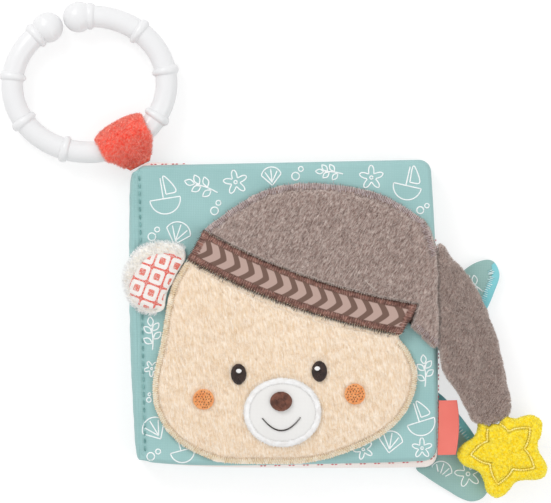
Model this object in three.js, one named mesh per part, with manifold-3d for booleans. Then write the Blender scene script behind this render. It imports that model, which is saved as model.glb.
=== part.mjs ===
// Cloth baby book: two padded covers and a crinkle leaf on a cloth spine, a plush bear face
// with a cap on the front, an ear, a cap tail with a star, two fins, a ribbon tab and a link ring.
// Millimetres, +Z up. The origin is the centre of the back cover's flat underside.
import * as THREE from "three";
import { mergeVertices } from "three/addons/utils/BufferGeometryUtils.js";
import Module from "manifold-3d";

const wasm = await Module();
wasm.setup();

// Driving dimensions.
const gap = 0.35;
const overrun = 5;
const cover = { width: 129.4, height: 130.6, corner: 5, bulge: 1.8, reach: 0.9, roll: 1.4 };
const cloth = { thickness: 1.1, rim: 1.6 };
const panel = { cover: 5.5, leaf: 5, foil: 0.4, leafDrop: 3, air: 0.3 };
const spine = { stand: 3.1, bulge: 2, cloth: 1.1, margin: 6.3 };
const face = { seam: 1.2, crown: 5.6, wall: 1.3 };
const cap = { seam: 1.2, crown: 5.2 };
const band = { width: 14.6, sag: 4.2, seam: 1.6, crown: 3.2 };
const ear = { seam: 1, crown: 3.6, patch: 0.7 };
const muzzle = { width: 33.9, height: 30.4, rise: 1.5 };
const nose = { width: 9.7, height: 8.6, rise: 1.3 };
const eye = { width: 6.8, height: 9.2, rise: 1 };
const glint = { width: 2.4, height: 1.9, rise: 0.5 };
const cheek = { width: 9.2, rise: 0.8 };
const mouth = { width: 16.6, drop: 5.6, thread: 1.5 };
const squeaker = { radius: 13, height: 2.2 };
const tail = { half: 3.5, edge: 0.9, wall: 1.1, rootLift: 2.3, droop: 7.9, run: 26, clear: 0.35 };
const star = { half: 4, edge: 0.8, wall: 1, lift: 11 };
const fin = { half: 2.3, edge: 0.7, middle: 2.75, edging: 4 };
const tab = { length: 8, root: 0.1, height: 24, thickness: 0.9, lift: 3.2 };
const ring = {
  halfWidth: 34.1, halfHeight: 30, tube: 4.8, collar: 6, collarLength: 3.6, ball: 6.8, lift: 0.15,
};
const loop = {
  bore: 6.2, cloth: 2.1, width: 20, foot: 9.5, reach: 12.6, seam: 0.9, chamfer: 2.4, lift: 0.2,
};

// Levels of the stack, from the underside up.
const leafBottom = panel.cover + panel.air;
const leafTop = leafBottom + panel.leaf;
const frontBottom = leafTop + panel.air;
const frontTop = frontBottom + panel.cover;
const padBottom = frontTop + gap;
const spineEdge = -cover.width / 2;
const foreEdge = cover.width / 2 + cover.reach + cover.bulge;
const spineLength = cover.height - 2 * spine.margin;

// Angles.
const ringCrossing = THREE.MathUtils.degToRad(-62.5);
const loopHeading = THREE.MathUtils.degToRad(116.5);
const loopOpen = THREE.MathUtils.degToRad(112);
const ringMouth = { first: THREE.MathUtils.degToRad(95.4), last: THREE.MathUtils.degToRad(120) };
const collarInset = { first: THREE.MathUtils.degToRad(8.7), last: THREE.MathUtils.degToRad(10.6) };
const starTurn = THREE.MathUtils.degToRad(-31);

// Shares: parts of the length named beside each.
const rollLead = 0.02; // of half the cover's width, inside the rolled edge
const faceReach = 0.42; // of the cover's width, from the face's centre to its edge
const patchSeam = 0.35; // of a patch's rise, at its edge
const spineFade = 0.9; // of the spine's bow, lost towards the top and bottom
const stuffing = { inset: 1.6, side: 1.5, top: 1.2 }; // of the wall, then twice of the gap
const starReach = { point: 0.932, notch: 0.6455, power: 1.15 }; // of the way to the tail's tip
const tabBow = 0.14; // of the tab's length
const loopTaper = 0.75; // of the loop's reach

// Counts.
const collarSteps = 8;
const collarUnderLoop = 4;
const steps = {
  outline: 40, small: 22, rings: 5, tube: 44, side: 10, star: 45, glint: 14, fewRings: 4, loop: 16, bore: 24,
};

// Colours, roughness.
const looks = {
  teal: [0xa3c9c8, 0.9], lining: [0xf1ede6, 0.9], wadding: [0xf6f4ef, 1], foil: [0xd8dadc, 0.35],
  turquoise: [0x6fc3cc, 0.85], cream: [0xf3dfc3, 1], brownPlush: [0x9e8f88, 1], braid: [0x70584f, 0.9],
  earFur: [0xfaf3e6, 1], patch: [0xf0b4ac, 0.9], muzzle: [0xf0f0f0, 0.9], brownThread: [0x5c3830, 0.6],
  darkThread: [0x3c2a26, 0.6], whiteThread: [0xffffff, 0.6], orangeThread: [0xe49655, 0.6],
  star: [0xffde28, 1], tab: [0xf5806f, 0.7], loop: [0xfa6455, 1], ring: [0xeeeeee, 0.3],
};
const book = new THREE.Group();

function addMesh(name, geometry, look, parent = book) {
  const [color, roughness] = looks[look];
  const mesh = new THREE.Mesh(geometry, new THREE.MeshStandardMaterial({ color, roughness, metalness: 0 }));
  mesh.name = name;
  parent.add(mesh);
  return mesh;
}

// Solids: a closed mesh to a manifold and back.
function solid(geometry) {
  const bare = geometry.clone();
  bare.deleteAttribute("normal");
  bare.deleteAttribute("uv");
  const merged = mergeVertices(bare, 1e-4);
  return new wasm.Manifold(new wasm.Mesh({
    numProp: 3,
    vertProperties: new Float32Array(merged.attributes.position.array),
    triVerts: new Uint32Array(merged.index.array),
  }));
}

function geometryOf(manifold) {
  const mesh = manifold.getMesh();
  const geometry = new THREE.BufferGeometry();
  geometry.setAttribute("position", new THREE.BufferAttribute(new Float32Array(mesh.vertProperties), 3));
  geometry.setIndex(new THREE.BufferAttribute(new Uint32Array(mesh.triVerts), 1));
  geometry.computeVertexNormals();
  return geometry;
}

// Outlines are anticlockwise lists of [x, y] in millimetres.
const ofCover = ([x, y]) => [x * cover.width, y * cover.height];

function smoothLine(points, count, closed = false) {
  const curve = new THREE.CatmullRomCurve3(
    points.map(([x, y]) => new THREE.Vector3(x, y, 0)), closed, "centripetal");
  const sampled = curve.getSpacedPoints(count).map((p) => [p.x, p.y]);
  return closed ? sampled.slice(0, -1) : sampled;
}

function ellipse([cx, cy], width, height, count = steps.small) {
  return Array.from({ length: count }, (_, i) => {
    const a = (2 * Math.PI * i) / count;
    return [cx + (width / 2) * Math.cos(a), cy + (height / 2) * Math.sin(a)];
  });
}

// How far [x, y] lies from the centre towards the outline, as a share of the way.
function outwardShare(outline, [cx, cy], x, y) {
  const dx = x - cx;
  const dy = y - cy;
  let reach = Infinity;
  outline.forEach(([ax, ay], i) => {
    const [bx, by] = outline[(i + 1) % outline.length];
    const cross = dx * (by - ay) - dy * (bx - ax);
    const along = ((ax - cx) * (by - ay) - (ay - cy) * (bx - ax)) / cross;
    const across = ((ax - cx) * dy - (ay - cy) * dx) / cross;
    if (cross !== 0 && along > 0 && across >= 0 && across <= 1) reach = Math.min(reach, along);
  });
  return reach === Infinity ? 0 : Math.min(1, 1 / reach);
}

// A pillow's rise over its seam: steep at the edge, flat in the middle.
const pillow = (share, crown, power = 3) => crown * Math.sqrt(Math.max(0, 1 - share ** power));

// A pad: rings of the outline drawn in to its centre, with a top and an underside of their own height.
// A flat side needs one ring.
function pad({ outline, centre, top, bottom, rings = steps.rings, under = 1 }) {
  const count = outline.length;
  const points = [];
  const faces = [];
  const rims = [];
  for (const [height, ringCount, below] of [[top, rings, false], [bottom, under, true]]) {
    const start = points.length / 3;
    points.push(centre[0], centre[1], height(centre[0], centre[1], 0));
    for (let r = 1; r <= ringCount; r++) {
      const share = Math.sin((Math.PI / 2) * (r / ringCount));
      for (const [px, py] of outline) {
        const x = centre[0] + (px - centre[0]) * share;
        const y = centre[1] + (py - centre[1]) * share;
        points.push(x, y, height(x, y, share));
      }
    }
    const at = (r, i) => start + 1 + r * count + (i % count);
    const put = (a, b, c) => (below ? faces.push(a, c, b) : faces.push(a, b, c));
    for (let i = 0; i < count; i++) {
      put(start, at(0, i), at(0, i + 1));
      for (let r = 0; r + 1 < ringCount; r++) {
        put(at(r, i), at(r + 1, i), at(r + 1, i + 1));
        put(at(r, i), at(r + 1, i + 1), at(r, i + 1));
      }
    }
    rims.push(at(ringCount - 1, 0));
  }
  const [rim, foot] = rims;
  for (let i = 0; i < count; i++) {
    const j = (i + 1) % count;
    faces.push(rim + i, foot + i, foot + j, rim + i, foot + j, rim + j);
  }
  const geometry = new THREE.BufferGeometry();
  geometry.setAttribute("position", new THREE.Float32BufferAttribute(points, 3));
  geometry.setIndex(faces);
  geometry.computeVertexNormals();
  return geometry;
}

// A straight-sided block over an outline, from one height to another.
function prism(outline, bottom, top) {
  const shape = new THREE.Shape(outline.map(([x, y]) => new THREE.Vector2(x, y)));
  const solid = new THREE.ExtrudeGeometry(shape, { depth: top - bottom, bevelEnabled: false });
  return solid.translate(0, 0, bottom);
}

// A sheet over a grid, closed by its own thickness: over(u, v) and under(u, v) give points, with u and v from
// 0 to 1.
function sheet(columns, rows, over, under) {
  const points = [];
  const faces = [];
  for (const surface of [over, under]) {
    for (let j = 0; j <= rows; j++) {
      for (let i = 0; i <= columns; i++) points.push(...surface(i / columns, j / rows));
    }
  }
  const layer = (columns + 1) * (rows + 1);
  const at = (i, j) => j * (columns + 1) + i;
  const quad = (a, b, c, d) => faces.push(a, b, c, a, c, d);
  for (let j = 0; j < rows; j++) {
    for (let i = 0; i < columns; i++) {
      quad(at(i, j), at(i + 1, j), at(i + 1, j + 1), at(i, j + 1));
      quad(layer + at(i, j), layer + at(i, j + 1), layer + at(i + 1, j + 1), layer + at(i + 1, j));
    }
  }
  for (let i = 0; i < columns; i++) {
    quad(layer + at(i, 0), layer + at(i + 1, 0), at(i + 1, 0), at(i, 0));
    quad(at(i, rows), at(i + 1, rows), layer + at(i + 1, rows), layer + at(i, rows));
  }
  for (let j = 0; j < rows; j++) {
    quad(at(0, j), at(0, j + 1), layer + at(0, j + 1), layer + at(0, j));
    quad(layer + at(columns, j), layer + at(columns, j + 1), at(columns, j + 1), at(columns, j));
  }
  const geometry = new THREE.BufferGeometry();
  geometry.setAttribute("position", new THREE.Float32BufferAttribute(points, 3));
  geometry.setIndex(faces);
  geometry.computeVertexNormals();
  return geometry;
}

// Panels. The outline is a rounded rectangle, drawn in or let out by grow, whose fore-edge reaches out and
// bulges. Its lower fore corner hangs down by drop.
function panelOutline(grow = 0, drop = 0) {
  const halfX = cover.width / 2 + grow;
  const halfY = cover.height / 2 + grow;
  const radius = cover.corner + grow;
  const arc = steps.outline / 4;
  const outline = [];
  [[1, 1, 0], [-1, 1, 1], [-1, -1, 2], [1, -1, 3]].forEach(([sx, sy, quarter]) => {
    for (let i = 0; i <= arc / 2; i++) {
      const a = (Math.PI / 2) * (quarter + i / (arc / 2));
      const centre = [sx * (halfX - radius), sy * (halfY - radius)];
      outline.push([centre[0] + radius * Math.cos(a), centre[1] + radius * Math.sin(a)]);
    }
    const [ax, ay] = outline[outline.length - 1];
    const next = [[-1, 1], [-1, -1], [1, -1], [1, 1]][quarter];
    const turned = (Math.PI / 2) * (quarter + 1);
    const bx = next[0] * (halfX - radius) + radius * Math.cos(turned);
    const by = next[1] * (halfY - radius) + radius * Math.sin(turned);
    for (let i = 1; i < arc / 2; i++) {
      const k = i / (arc / 2);
      outline.push([ax + (bx - ax) * k, ay + (by - ay) * k]);
    }
  });
  return outline.map(([x, y]) => {
    const out = (cover.reach + cover.bulge * (1 - (y / halfY) ** 2)) * Math.max(0, x / halfX);
    return [x + out, y - drop * Math.max(0, -y / halfY) * (x / cover.width + 0.5)];
  });
}

// A cloth tray with rolled edges: floor at the outer face, open towards the lining.
function clothTray(outerLevel, rimLevel, drop) {
  const up = Math.sign(outerLevel - rimLevel);
  const rollStart = 1 - cover.roll / (cover.width / 2) - rollLead;
  const roll = (share) => cover.roll * Math.max(0, (share - rollStart) / (1 - rollStart)) ** 2;
  const outside = (x, y, share) => outerLevel - up * roll(share);
  const inside = () => rimLevel;
  const outline = panelOutline(0, drop);
  const body = up > 0
    ? pad({ outline, centre: [0, 0], top: outside, bottom: inside })
    : pad({ outline, centre: [0, 0], rings: 1, under: steps.rings, top: inside, bottom: outside });
  const floor = outerLevel - up * cloth.thickness;
  const mouth = rimLevel - up * overrun;
  const pocket = prism(panelOutline(-cloth.rim, drop), Math.min(floor, mouth), Math.max(floor, mouth));
  return geometryOf(solid(body).subtract(solid(pocket)));
}

function wadding(bottom, top, drop) {
  return prism(panelOutline(-cloth.rim - gap, drop), bottom, top);
}

// A cloth tray and a flat lining that closes it. Returns the levels that the wadding lies between.
function addPanel(prefix, bottom, thickness, outerUp, drop, names) {
  const top = bottom + thickness;
  const low = bottom + cloth.thickness + gap;
  const high = top - cloth.thickness - gap;
  const outline = panelOutline(0, drop);
  addMesh(prefix + names.outer, outerUp ? clothTray(top, low, drop) : clothTray(bottom, high, drop), "teal");
  addMesh(prefix + names.lining, outerUp
    ? prism(outline, bottom, bottom + cloth.thickness)
    : prism(outline, top - cloth.thickness, top), "lining");
  return [low, high];
}

function addCovers() {
  const [backLow, backHigh] = addPanel("back_cover", 0, panel.cover, false, 0,
    { outer: "_cloth", lining: "_lining" });
  addMesh("back_cover_wadding", wadding(backLow, backHigh, 0), "wadding");
  const [leafLow, leafHigh] = addPanel("leaf", leafBottom, panel.leaf, true, panel.leafDrop,
    { outer: "_front_cloth", lining: "_back_cloth" });
  const foilTop = leafLow + panel.foil;
  addMesh("leaf_crinkle_foil", wadding(leafLow, foilTop, panel.leafDrop), "foil");
  addMesh("leaf_wadding", wadding(foilTop + gap, leafHigh, panel.leafDrop), "wadding");
  const [frontLow, frontHigh] = addPanel("front_cover", frontBottom, panel.cover, true, 0,
    { outer: "_cloth", lining: "_lining" });
  addMesh("front_cover_wadding", wadding(frontLow, frontHigh, 0), "wadding");
}

// Spine cloth: an upper and a lower sheet, both bowed outwards, that meet at the leaf's sewn edge.
function addSpine() {
  const middle = (leafBottom + leafTop) / 2;
  const edge = spineEdge - gap;
  const strip = (low, high) => {
    const surface = (inset) => (u, v) => {
      const z = low + (high - low) * u;
      const lean = (z - frontTop / 2) / (frontTop / 2);
      const stand = spine.stand - spine.bulge * (2 * v - 1) ** 2;
      const depth = stand * Math.sqrt(1 - Math.min(1, lean ** 2) * spineFade);
      const x = inset ? Math.max(0, depth - inset) : depth + spine.cloth / 4;
      return [edge - x, (v - 0.5) * spineLength, z];
    };
    return sheet(6, 8, surface(0), surface(spine.cloth));
  };
  addMesh("spine_cloth_lower", strip(gap, middle - gap / 2), "teal");
  addMesh("spine_cloth_upper", strip(middle + gap / 2, frontTop - gap), "teal");
}

// The band's middle line is an arc between two points; places beside it are an offset across.
const bandEndShares = [[-0.296, 0.229], [0.417, -0.035]];
const [bandLeft, bandRight] = bandEndShares.map(ofCover);
const bandSpan = Math.hypot(bandRight[0] - bandLeft[0], bandRight[1] - bandLeft[1]);
const bandRadius = bandSpan ** 2 / (8 * band.sag) + band.sag / 2;

function bandPoint(share, offset) {
  const ux = (bandRight[0] - bandLeft[0]) / bandSpan;
  const uy = (bandRight[1] - bandLeft[1]) / bandSpan;
  const half = Math.asin(bandSpan / 2 / bandRadius);
  const a = half * (2 * share - 1);
  const along = bandSpan / 2 + (bandRadius - offset) * Math.sin(a);
  const across = (bandRadius - band.sag) - (bandRadius - offset) * Math.cos(a);
  return [bandLeft[0] + ux * along - uy * across, bandLeft[1] + uy * along + ux * across];
}

const bandArc = (from, to, offset, count) => Array.from({ length: count + 1 }, (_, i) =>
  bandPoint(from + ((to - from) * i) / count, offset));

const faceEdgeShares = [
  [-0.335, 0.168], [-0.391, 0.05], [-0.421, -0.094], [-0.452, -0.232], [-0.447, -0.315], [-0.388, -0.415],
  [-0.255, -0.483], [-0.095, -0.495], [0.066, -0.494], [0.18, -0.474], [0.334, -0.413], [0.416, -0.33],
  [0.446, -0.224], [0.42, -0.143], [0.389, -0.104],
];
const faceCentreShare = [-0.03, -0.2];
const faceCentre = ofCover(faceCentreShare);
const faceOutline = [
  ...smoothLine(faceEdgeShares.map(ofCover), 40),
  ...bandArc(1, 0, -band.width / 2 - gap, 16).slice(1, -1),
];
const faceTop = (x, y) => padBottom + face.seam
  + pillow(outwardShare(faceOutline, faceCentre, x, y), face.crown);

const crownEdgeShares = [
  [0.43, -0.06], [0.5119, -0.13], [0.5199, -0.1], [0.5214, 0.05], [0.5204, 0.18], [0.482, 0.288],
  [0.446, 0.32], [0.34, 0.383], [0.18, 0.421], [0.046, 0.426], [-0.061, 0.405], [-0.169, 0.349],
  [-0.262, 0.281],
];
const crownCentreShare = [0.2, 0.17];

function addFace() {
  const plush = solid(pad({
    outline: faceOutline, centre: faceCentre, top: faceTop, bottom: () => padBottom,
  }));
  const inner = (grow, low, drop) => {
    const shrink = 1 - grow / (cover.width * faceReach);
    const outline = faceOutline.map(([x, y]) => [
      faceCentre[0] + (x - faceCentre[0]) * shrink, faceCentre[1] + (y - faceCentre[1]) * shrink]);
    return pad({
      outline, centre: faceCentre, bottom: () => low,
      top: (x, y, share) => padBottom + pillow(share, face.crown + face.seam - drop),
    });
  };
  const hollow = solid(inner(face.wall * 3, padBottom - overrun, face.wall));
  addMesh("face_plush", geometryOf(plush.subtract(hollow)), "cream");
  const disc = new THREE.CylinderGeometry(squeaker.radius, squeaker.radius, squeaker.height, steps.small)
    .rotateX(Math.PI / 2).translate(faceCentre[0], faceCentre[1], padBottom + squeaker.height / 2);
  const seat = new THREE.CylinderGeometry(
    squeaker.radius + gap, squeaker.radius + gap, squeaker.height + 2 * gap + overrun, steps.small)
    .rotateX(Math.PI / 2)
    .translate(faceCentre[0], faceCentre[1], padBottom + squeaker.height / 2 - overrun / 2);
  const filling = solid(inner(face.wall * 3 + gap * 2, padBottom, face.wall + gap));
  addMesh("face_wadding", geometryOf(filling.subtract(solid(seat))), "wadding");
  addMesh("squeaker", disc, "ring");
  return plush;
}

const patchHeight = (share, rise) => gap + rise * patchSeam + pillow(share, rise * (1 - patchSeam));

// A patch sewn on a padded surface: its underside follows the surface a gap above it.
function patch(name, look, outline, centre, base, rise, carrier, rings = steps.fewRings) {
  const blank = solid(pad({
    outline, centre, rings, under: 2,
    top: (x, y, share) => base(x, y) + patchHeight(share, rise),
    bottom: (x, y) => base(x, y) - rise,
  }));
  addMesh(name, geometryOf(blank.subtract(carrier.translate([0, 0, gap]))), look);
  return blank;
}

function addFeatures(plush) {
  const muzzleCentre = ofCover([-0.014, -0.341]);
  const muzzleOutline = ellipse(muzzleCentre, muzzle.width, muzzle.height, 30);
  const muzzleTop = (x, y) => faceTop(x, y)
    + patchHeight(outwardShare(muzzleOutline, muzzleCentre, x, y), muzzle.rise);
  const muzzleSolid = patch(
    "muzzle_patch", "muzzle", muzzleOutline, muzzleCentre, faceTop, muzzle.rise, plush);
  const noseCentre = ofCover([-0.018, -0.303]);
  patch("nose", "brownThread", ellipse(noseCentre, nose.width, nose.height), noseCentre, muzzleTop,
    nose.rise, muzzleSolid);
  const mouthCentre = ofCover([-0.018, -0.358]);
  const half = mouth.width / 2;
  const line = [-1, -0.55, 0, 0.55, 1].map((s) => {
    const x = mouthCentre[0] + half * s;
    const y = mouthCentre[1] - mouth.drop * (1 - s * s);
    return new THREE.Vector3(x, y, muzzleTop(x, y) + gap);
  });
  const section = new THREE.Shape(ellipse([0, 0], mouth.thread, mouth.thread, 8)
    .map(([x, y]) => new THREE.Vector2(x, y)));
  const rope = new THREE.ExtrudeGeometry(section, {
    steps: 14, bevelEnabled: false, extrudePath: new THREE.CatmullRomCurve3(line),
  });
  addMesh("mouth", geometryOf(solid(rope).subtract(muzzleSolid.translate([0, 0, gap]))), "darkThread");
  const pairs = [["left", [-0.16, -0.209], [-0.159, -0.198]], ["right", [0.114, -0.205], [0.107, -0.195]]];
  for (const [side, eyeShare, glintShare] of pairs) {
    const centre = ofCover(eyeShare);
    const outline = ellipse(centre, eye.width, eye.height);
    const top = (x, y) => faceTop(x, y) + patchHeight(outwardShare(outline, centre, x, y), eye.rise);
    const eyeSolid = patch("eye_" + side, "darkThread", outline, centre, faceTop, eye.rise, plush);
    const spot = ofCover(glintShare);
    const glintOutline = ellipse(spot, glint.width, glint.height, steps.glint);
    patch("eye_glint_" + side, "whiteThread", glintOutline, spot, top, glint.rise, eyeSolid, 2);
  }
  for (const [side, share] of [["left", [-0.281, -0.291]], ["right", [0.233, -0.284]]]) {
    const centre = ofCover(share);
    patch("cheek_" + side, "orangeThread", ellipse(centre, cheek.width, cheek.width), centre, faceTop,
      cheek.rise, plush);
  }
}

function addCap() {
  const outline = [
    ...smoothLine(crownEdgeShares.map(ofCover), 44),
    ...bandArc(0, 1, 0, 14),
  ];
  const centre = ofCover(crownCentreShare);
  const crown = pad({
    outline, centre, bottom: () => padBottom,
    top: (x, y, share) => padBottom + cap.seam + pillow(share, cap.crown),
  });
  const endGap = gap / bandSpan;
  const bandBlock = prism([
    ...bandArc(-0.1, 1 + endGap, -band.width / 2 - gap, 20),
    ...bandArc(1 + endGap, -0.1, band.width / 2 + gap, 20),
  ], padBottom - overrun, padBottom + cap.crown + cap.seam + overrun);
  addMesh("cap_crown", geometryOf(solid(crown).subtract(solid(bandBlock))), "brownPlush");
  const bandSurface = (top) => (u, v) => {
    const across = 2 * v - 1;
    const [x, y] = bandPoint(u, across * (band.width / 2));
    return [x, y, padBottom + (top ? band.seam + pillow(Math.abs(across), band.crown, 4) : 0)];
  };
  addMesh("cap_band", sheet(22, 6, bandSurface(true), bandSurface(false)), "braid");
}

const earEdgeShares = [
  [-0.418, 0.012], [-0.404, 0.06], [-0.371, 0.125], [-0.342, 0.19], [-0.356, 0.228], [-0.403, 0.239],
  [-0.45, 0.235], [-0.492, 0.217], [-0.524, 0.178], [-0.541, 0.13], [-0.535, 0.075], [-0.51, 0.03],
  [-0.465, 0.004],
];
const earPatchShares = [
  [-0.424, 0.024], [-0.413, 0.06], [-0.381, 0.125], [-0.354, 0.182], [-0.385, 0.199], [-0.445, 0.196],
  [-0.493, 0.157], [-0.525, 0.09], [-0.512, 0.047], [-0.465, 0.0185],
];
const earCentreShare = [-0.45, 0.12];

function addEar() {
  const outline = smoothLine(earEdgeShares.map(ofCover), 36, true);
  const centre = ofCover(earCentreShare);
  const top = (x, y) => padBottom + ear.seam + pillow(outwardShare(outline, centre, x, y), ear.crown);
  const fur = pad({ outline, centre, top, bottom: () => padBottom });
  addMesh("ear_fur", fur, "earFur");
  const inner = smoothLine(earPatchShares.map(ofCover), 32, true);
  patch("ear_patch", "patch", inner, centre, top, ear.patch, solid(fur));
}

// A stuffed piece: two cloth halves sewn round the edge, with wadding between them.
function addStuffed(prefix, outline, centre, middle, size, look) {
  const half = (share) => size.edge + pillow(share, size.half - size.edge);
  const inner = (grow, less) => {
    const reach = Math.min(...outline.map(([x, y]) => Math.hypot(x - centre[0], y - centre[1])));
    const shrink = 1 - grow / reach;
    const drawn = outline.map(([x, y]) => [
      centre[0] + (x - centre[0]) * shrink, centre[1] + (y - centre[1]) * shrink]);
    const rise = (share) => size.edge / 2 + pillow(share, size.half - size.edge / 2 - less);
    return pad({
      outline: drawn, centre, rings: steps.fewRings, under: steps.fewRings,
      top: (x, y, share) => middle(x, y) + rise(share),
      bottom: (x, y, share) => middle(x, y) - rise(share),
    });
  };
  const hollow = solid(inner(size.wall * stuffing.inset, size.wall));
  const parting = size.droop ? steps.fewRings : 1;
  const upper = pad({
    outline, centre, rings: steps.fewRings, under: parting,
    top: (x, y, share) => middle(x, y) + half(share), bottom: (x, y) => middle(x, y) + gap / 2,
  });
  const lower = pad({
    outline, centre, rings: parting, under: steps.fewRings,
    top: (x, y) => middle(x, y) - gap / 2, bottom: (x, y, share) => middle(x, y) - half(share),
  });
  addMesh(prefix + "_front", geometryOf(solid(upper).subtract(hollow)), look);
  addMesh(prefix + "_back", geometryOf(solid(lower).subtract(hollow)), look);
  const filling = inner(size.wall * stuffing.inset + gap * stuffing.side, size.wall + gap * stuffing.top);
  addMesh(prefix + "_wadding", filling, "wadding");
}

const tailEdgeShares = [
  [0.5309, -0.165], [0.5294, -0.05], [0.5294, 0.1], [0.5304, 0.213], [0.5684, 0.165], [0.6134, 0.113],
  [0.6474, 0.062], [0.6764, 0.004], [0.6944, -0.046], [0.7174, -0.115], [0.7324, -0.183], [0.7474, -0.256],
  [0.7614, -0.325], [0.7514, -0.364], [0.7224, -0.3855], [0.6884, -0.3925], [0.6594, -0.391], [0.6374, -0.381],
  [0.6144, -0.34], [0.5884, -0.287], [0.5604, -0.247], [0.5369, -0.207],
];
const tailCentreShare = [0.6344, -0.12];
const tailTipShare = [0.6904, -0.325];
const tailTipRadiusShare = 0.0695;
const starCentreShare = [0.7394, -0.4875];

function addTail() {
  const outline = smoothLine(tailEdgeShares.map(ofCover), 36, true).reverse();
  const root = frontTop + tail.rootLift;
  const middle = (x) => {
    const k = Math.min(1, Math.max(0, (x - foreEdge) / tail.run));
    return root - tail.droop * k * k * (3 - 2 * k);
  };
  addStuffed("cap_tail", outline, ofCover(tailCentreShare), middle, tail, "brownPlush");
}

// The star's edge swings between its points and its notches, and makes room for the tail's tip.
function addStar() {
  const centre = ofCover(starCentreShare);
  const tip = ofCover(tailTipShare);
  const [dx, dy] = [tip[0] - centre[0], tip[1] - centre[1]];
  const away = Math.hypot(dx, dy);
  const tipRadius = tailTipRadiusShare * (cover.width + cover.height) / 2 + tail.clear;
  const outline = Array.from({ length: steps.star }, (_, i) => {
    const a = (2 * Math.PI * i) / steps.star;
    const wave = (0.5 + 0.5 * Math.cos(5 * (a - starTurn))) ** starReach.power;
    const radius = away * (starReach.notch + (starReach.point - starReach.notch) * wave);
    const along = dx * Math.cos(a) + dy * Math.sin(a);
    const miss = away ** 2 - along ** 2;
    const free = along > 0 && miss < tipRadius ** 2 ? along - Math.sqrt(tipRadius ** 2 - miss) : radius;
    const reach = Math.min(radius, free);
    return [centre[0] + reach * Math.cos(a), centre[1] + reach * Math.sin(a)];
  });
  addStuffed("star", outline, centre, () => star.lift, star, "star");
}

const finSeamShare = 0.49;
const upperFinShares = [
  [0.49, 0.055], [0.5708, 0.08], [0.6178, 0.125], [0.6578, 0.149], [0.6988, 0.158], [0.7198, 0.149],
  [0.7368, 0.107], [0.7168, 0.046], [0.6878, -0.015], [0.6308, -0.09], [0.5708, -0.13], [0.49, -0.142],
];
const upperFinCentreShare = [0.6108, 0.01];
const lowerFinShares = [
  [0.49, -0.275], [0.529, -0.296], [0.573, -0.344], [0.63, -0.42], [0.675, -0.5], [0.69, -0.6],
  [0.664, -0.647], [0.625, -0.659], [0.586, -0.646], [0.547, -0.622], [0.507, -0.597], [0.469, -0.57],
  [0.438, -0.543], [0.462, -0.49], [0.49, -0.47],
];
const lowerFinCentreShare = [0.585, -0.52];

// A fin: the middle is one cloth pad and the outer border a turquoise edging beside it.
function addFin(prefix, edgeShares, centreShare) {
  const outline = edgeShares.map(ofCover).reverse();
  const dense = outline.flatMap(([x, y], i) => {
    const [nx, ny] = outline[(i + 1) % outline.length];
    return [0, 1 / 3, 2 / 3].map((k) => [x + (nx - x) * k, y + (ny - y) * k]);
  });
  const centre = ofCover(centreShare);
  const whole = solid(pad({
    outline: dense, centre, rings: steps.fewRings, under: steps.fewRings,
    top: (x, y, share) => fin.middle + fin.edge + pillow(share, fin.half - fin.edge),
    bottom: (x, y, share) => fin.middle - fin.edge - pillow(share, fin.half - fin.edge),
  })).subtract(solid(prism(panelOutline(gap, panel.leafDrop), -overrun, leafBottom)));
  const reach = Math.min(...outline.map(([x, y]) => Math.hypot(x - centre[0], y - centre[1])));
  const block = (inset) => {
    const shrink = 1 - inset / reach;
    return solid(prism(outline.map(([x, y]) => {
      if (Math.abs(x - finSeamShare * cover.width) < gap) return [x - overrun, y];
      return [centre[0] + (x - centre[0]) * shrink, centre[1] + (y - centre[1]) * shrink];
    }), -overrun, overrun * 2));
  };
  addMesh(prefix + "_cloth", geometryOf(whole.intersect(block(fin.edging + gap))), "teal");
  addMesh(prefix + "_edging", geometryOf(whole.subtract(block(fin.edging))), "turquoise");
}

function addTab() {
  const centreY = ofCover([0, -0.405])[1];
  const surface = (lift) => (u, v) => {
    const y = centreY + (v - 0.5) * tab.height;
    const bulge = 1 + tabBow * (1 - (2 * v - 1) ** 2);
    const root = foreEdge - cover.bulge * (2 * y / cover.height) ** 2 + gap;
    return [root + tab.root + tab.length * u * bulge, y, frontBottom + tab.lift + lift];
  };
  addMesh("ribbon_tab", sheet(4, 8, surface(tab.thickness), surface(0)), "tab");
}

// The loop stands over the spine's top corner and the ring's tube runs through its bore.
function placeLink() {
  const across = [Math.cos(loopHeading), Math.sin(loopHeading)];
  const cornerX = spineEdge + cover.corner + across[0] * (cover.corner + gap);
  const cornerY = cover.height / 2 - cover.corner + across[1] * (cover.corner + gap);
  const boreZ = loop.bore + loop.cloth + loop.lift;
  return {
    across, foot: [cornerX, cornerY], boreZ,
    bore: [cornerX + across[0] * loop.reach, cornerY + across[1] * loop.reach, boreZ],
    tangent: new THREE.Vector3(across[1], -across[0], 0),
  };
}

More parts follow.
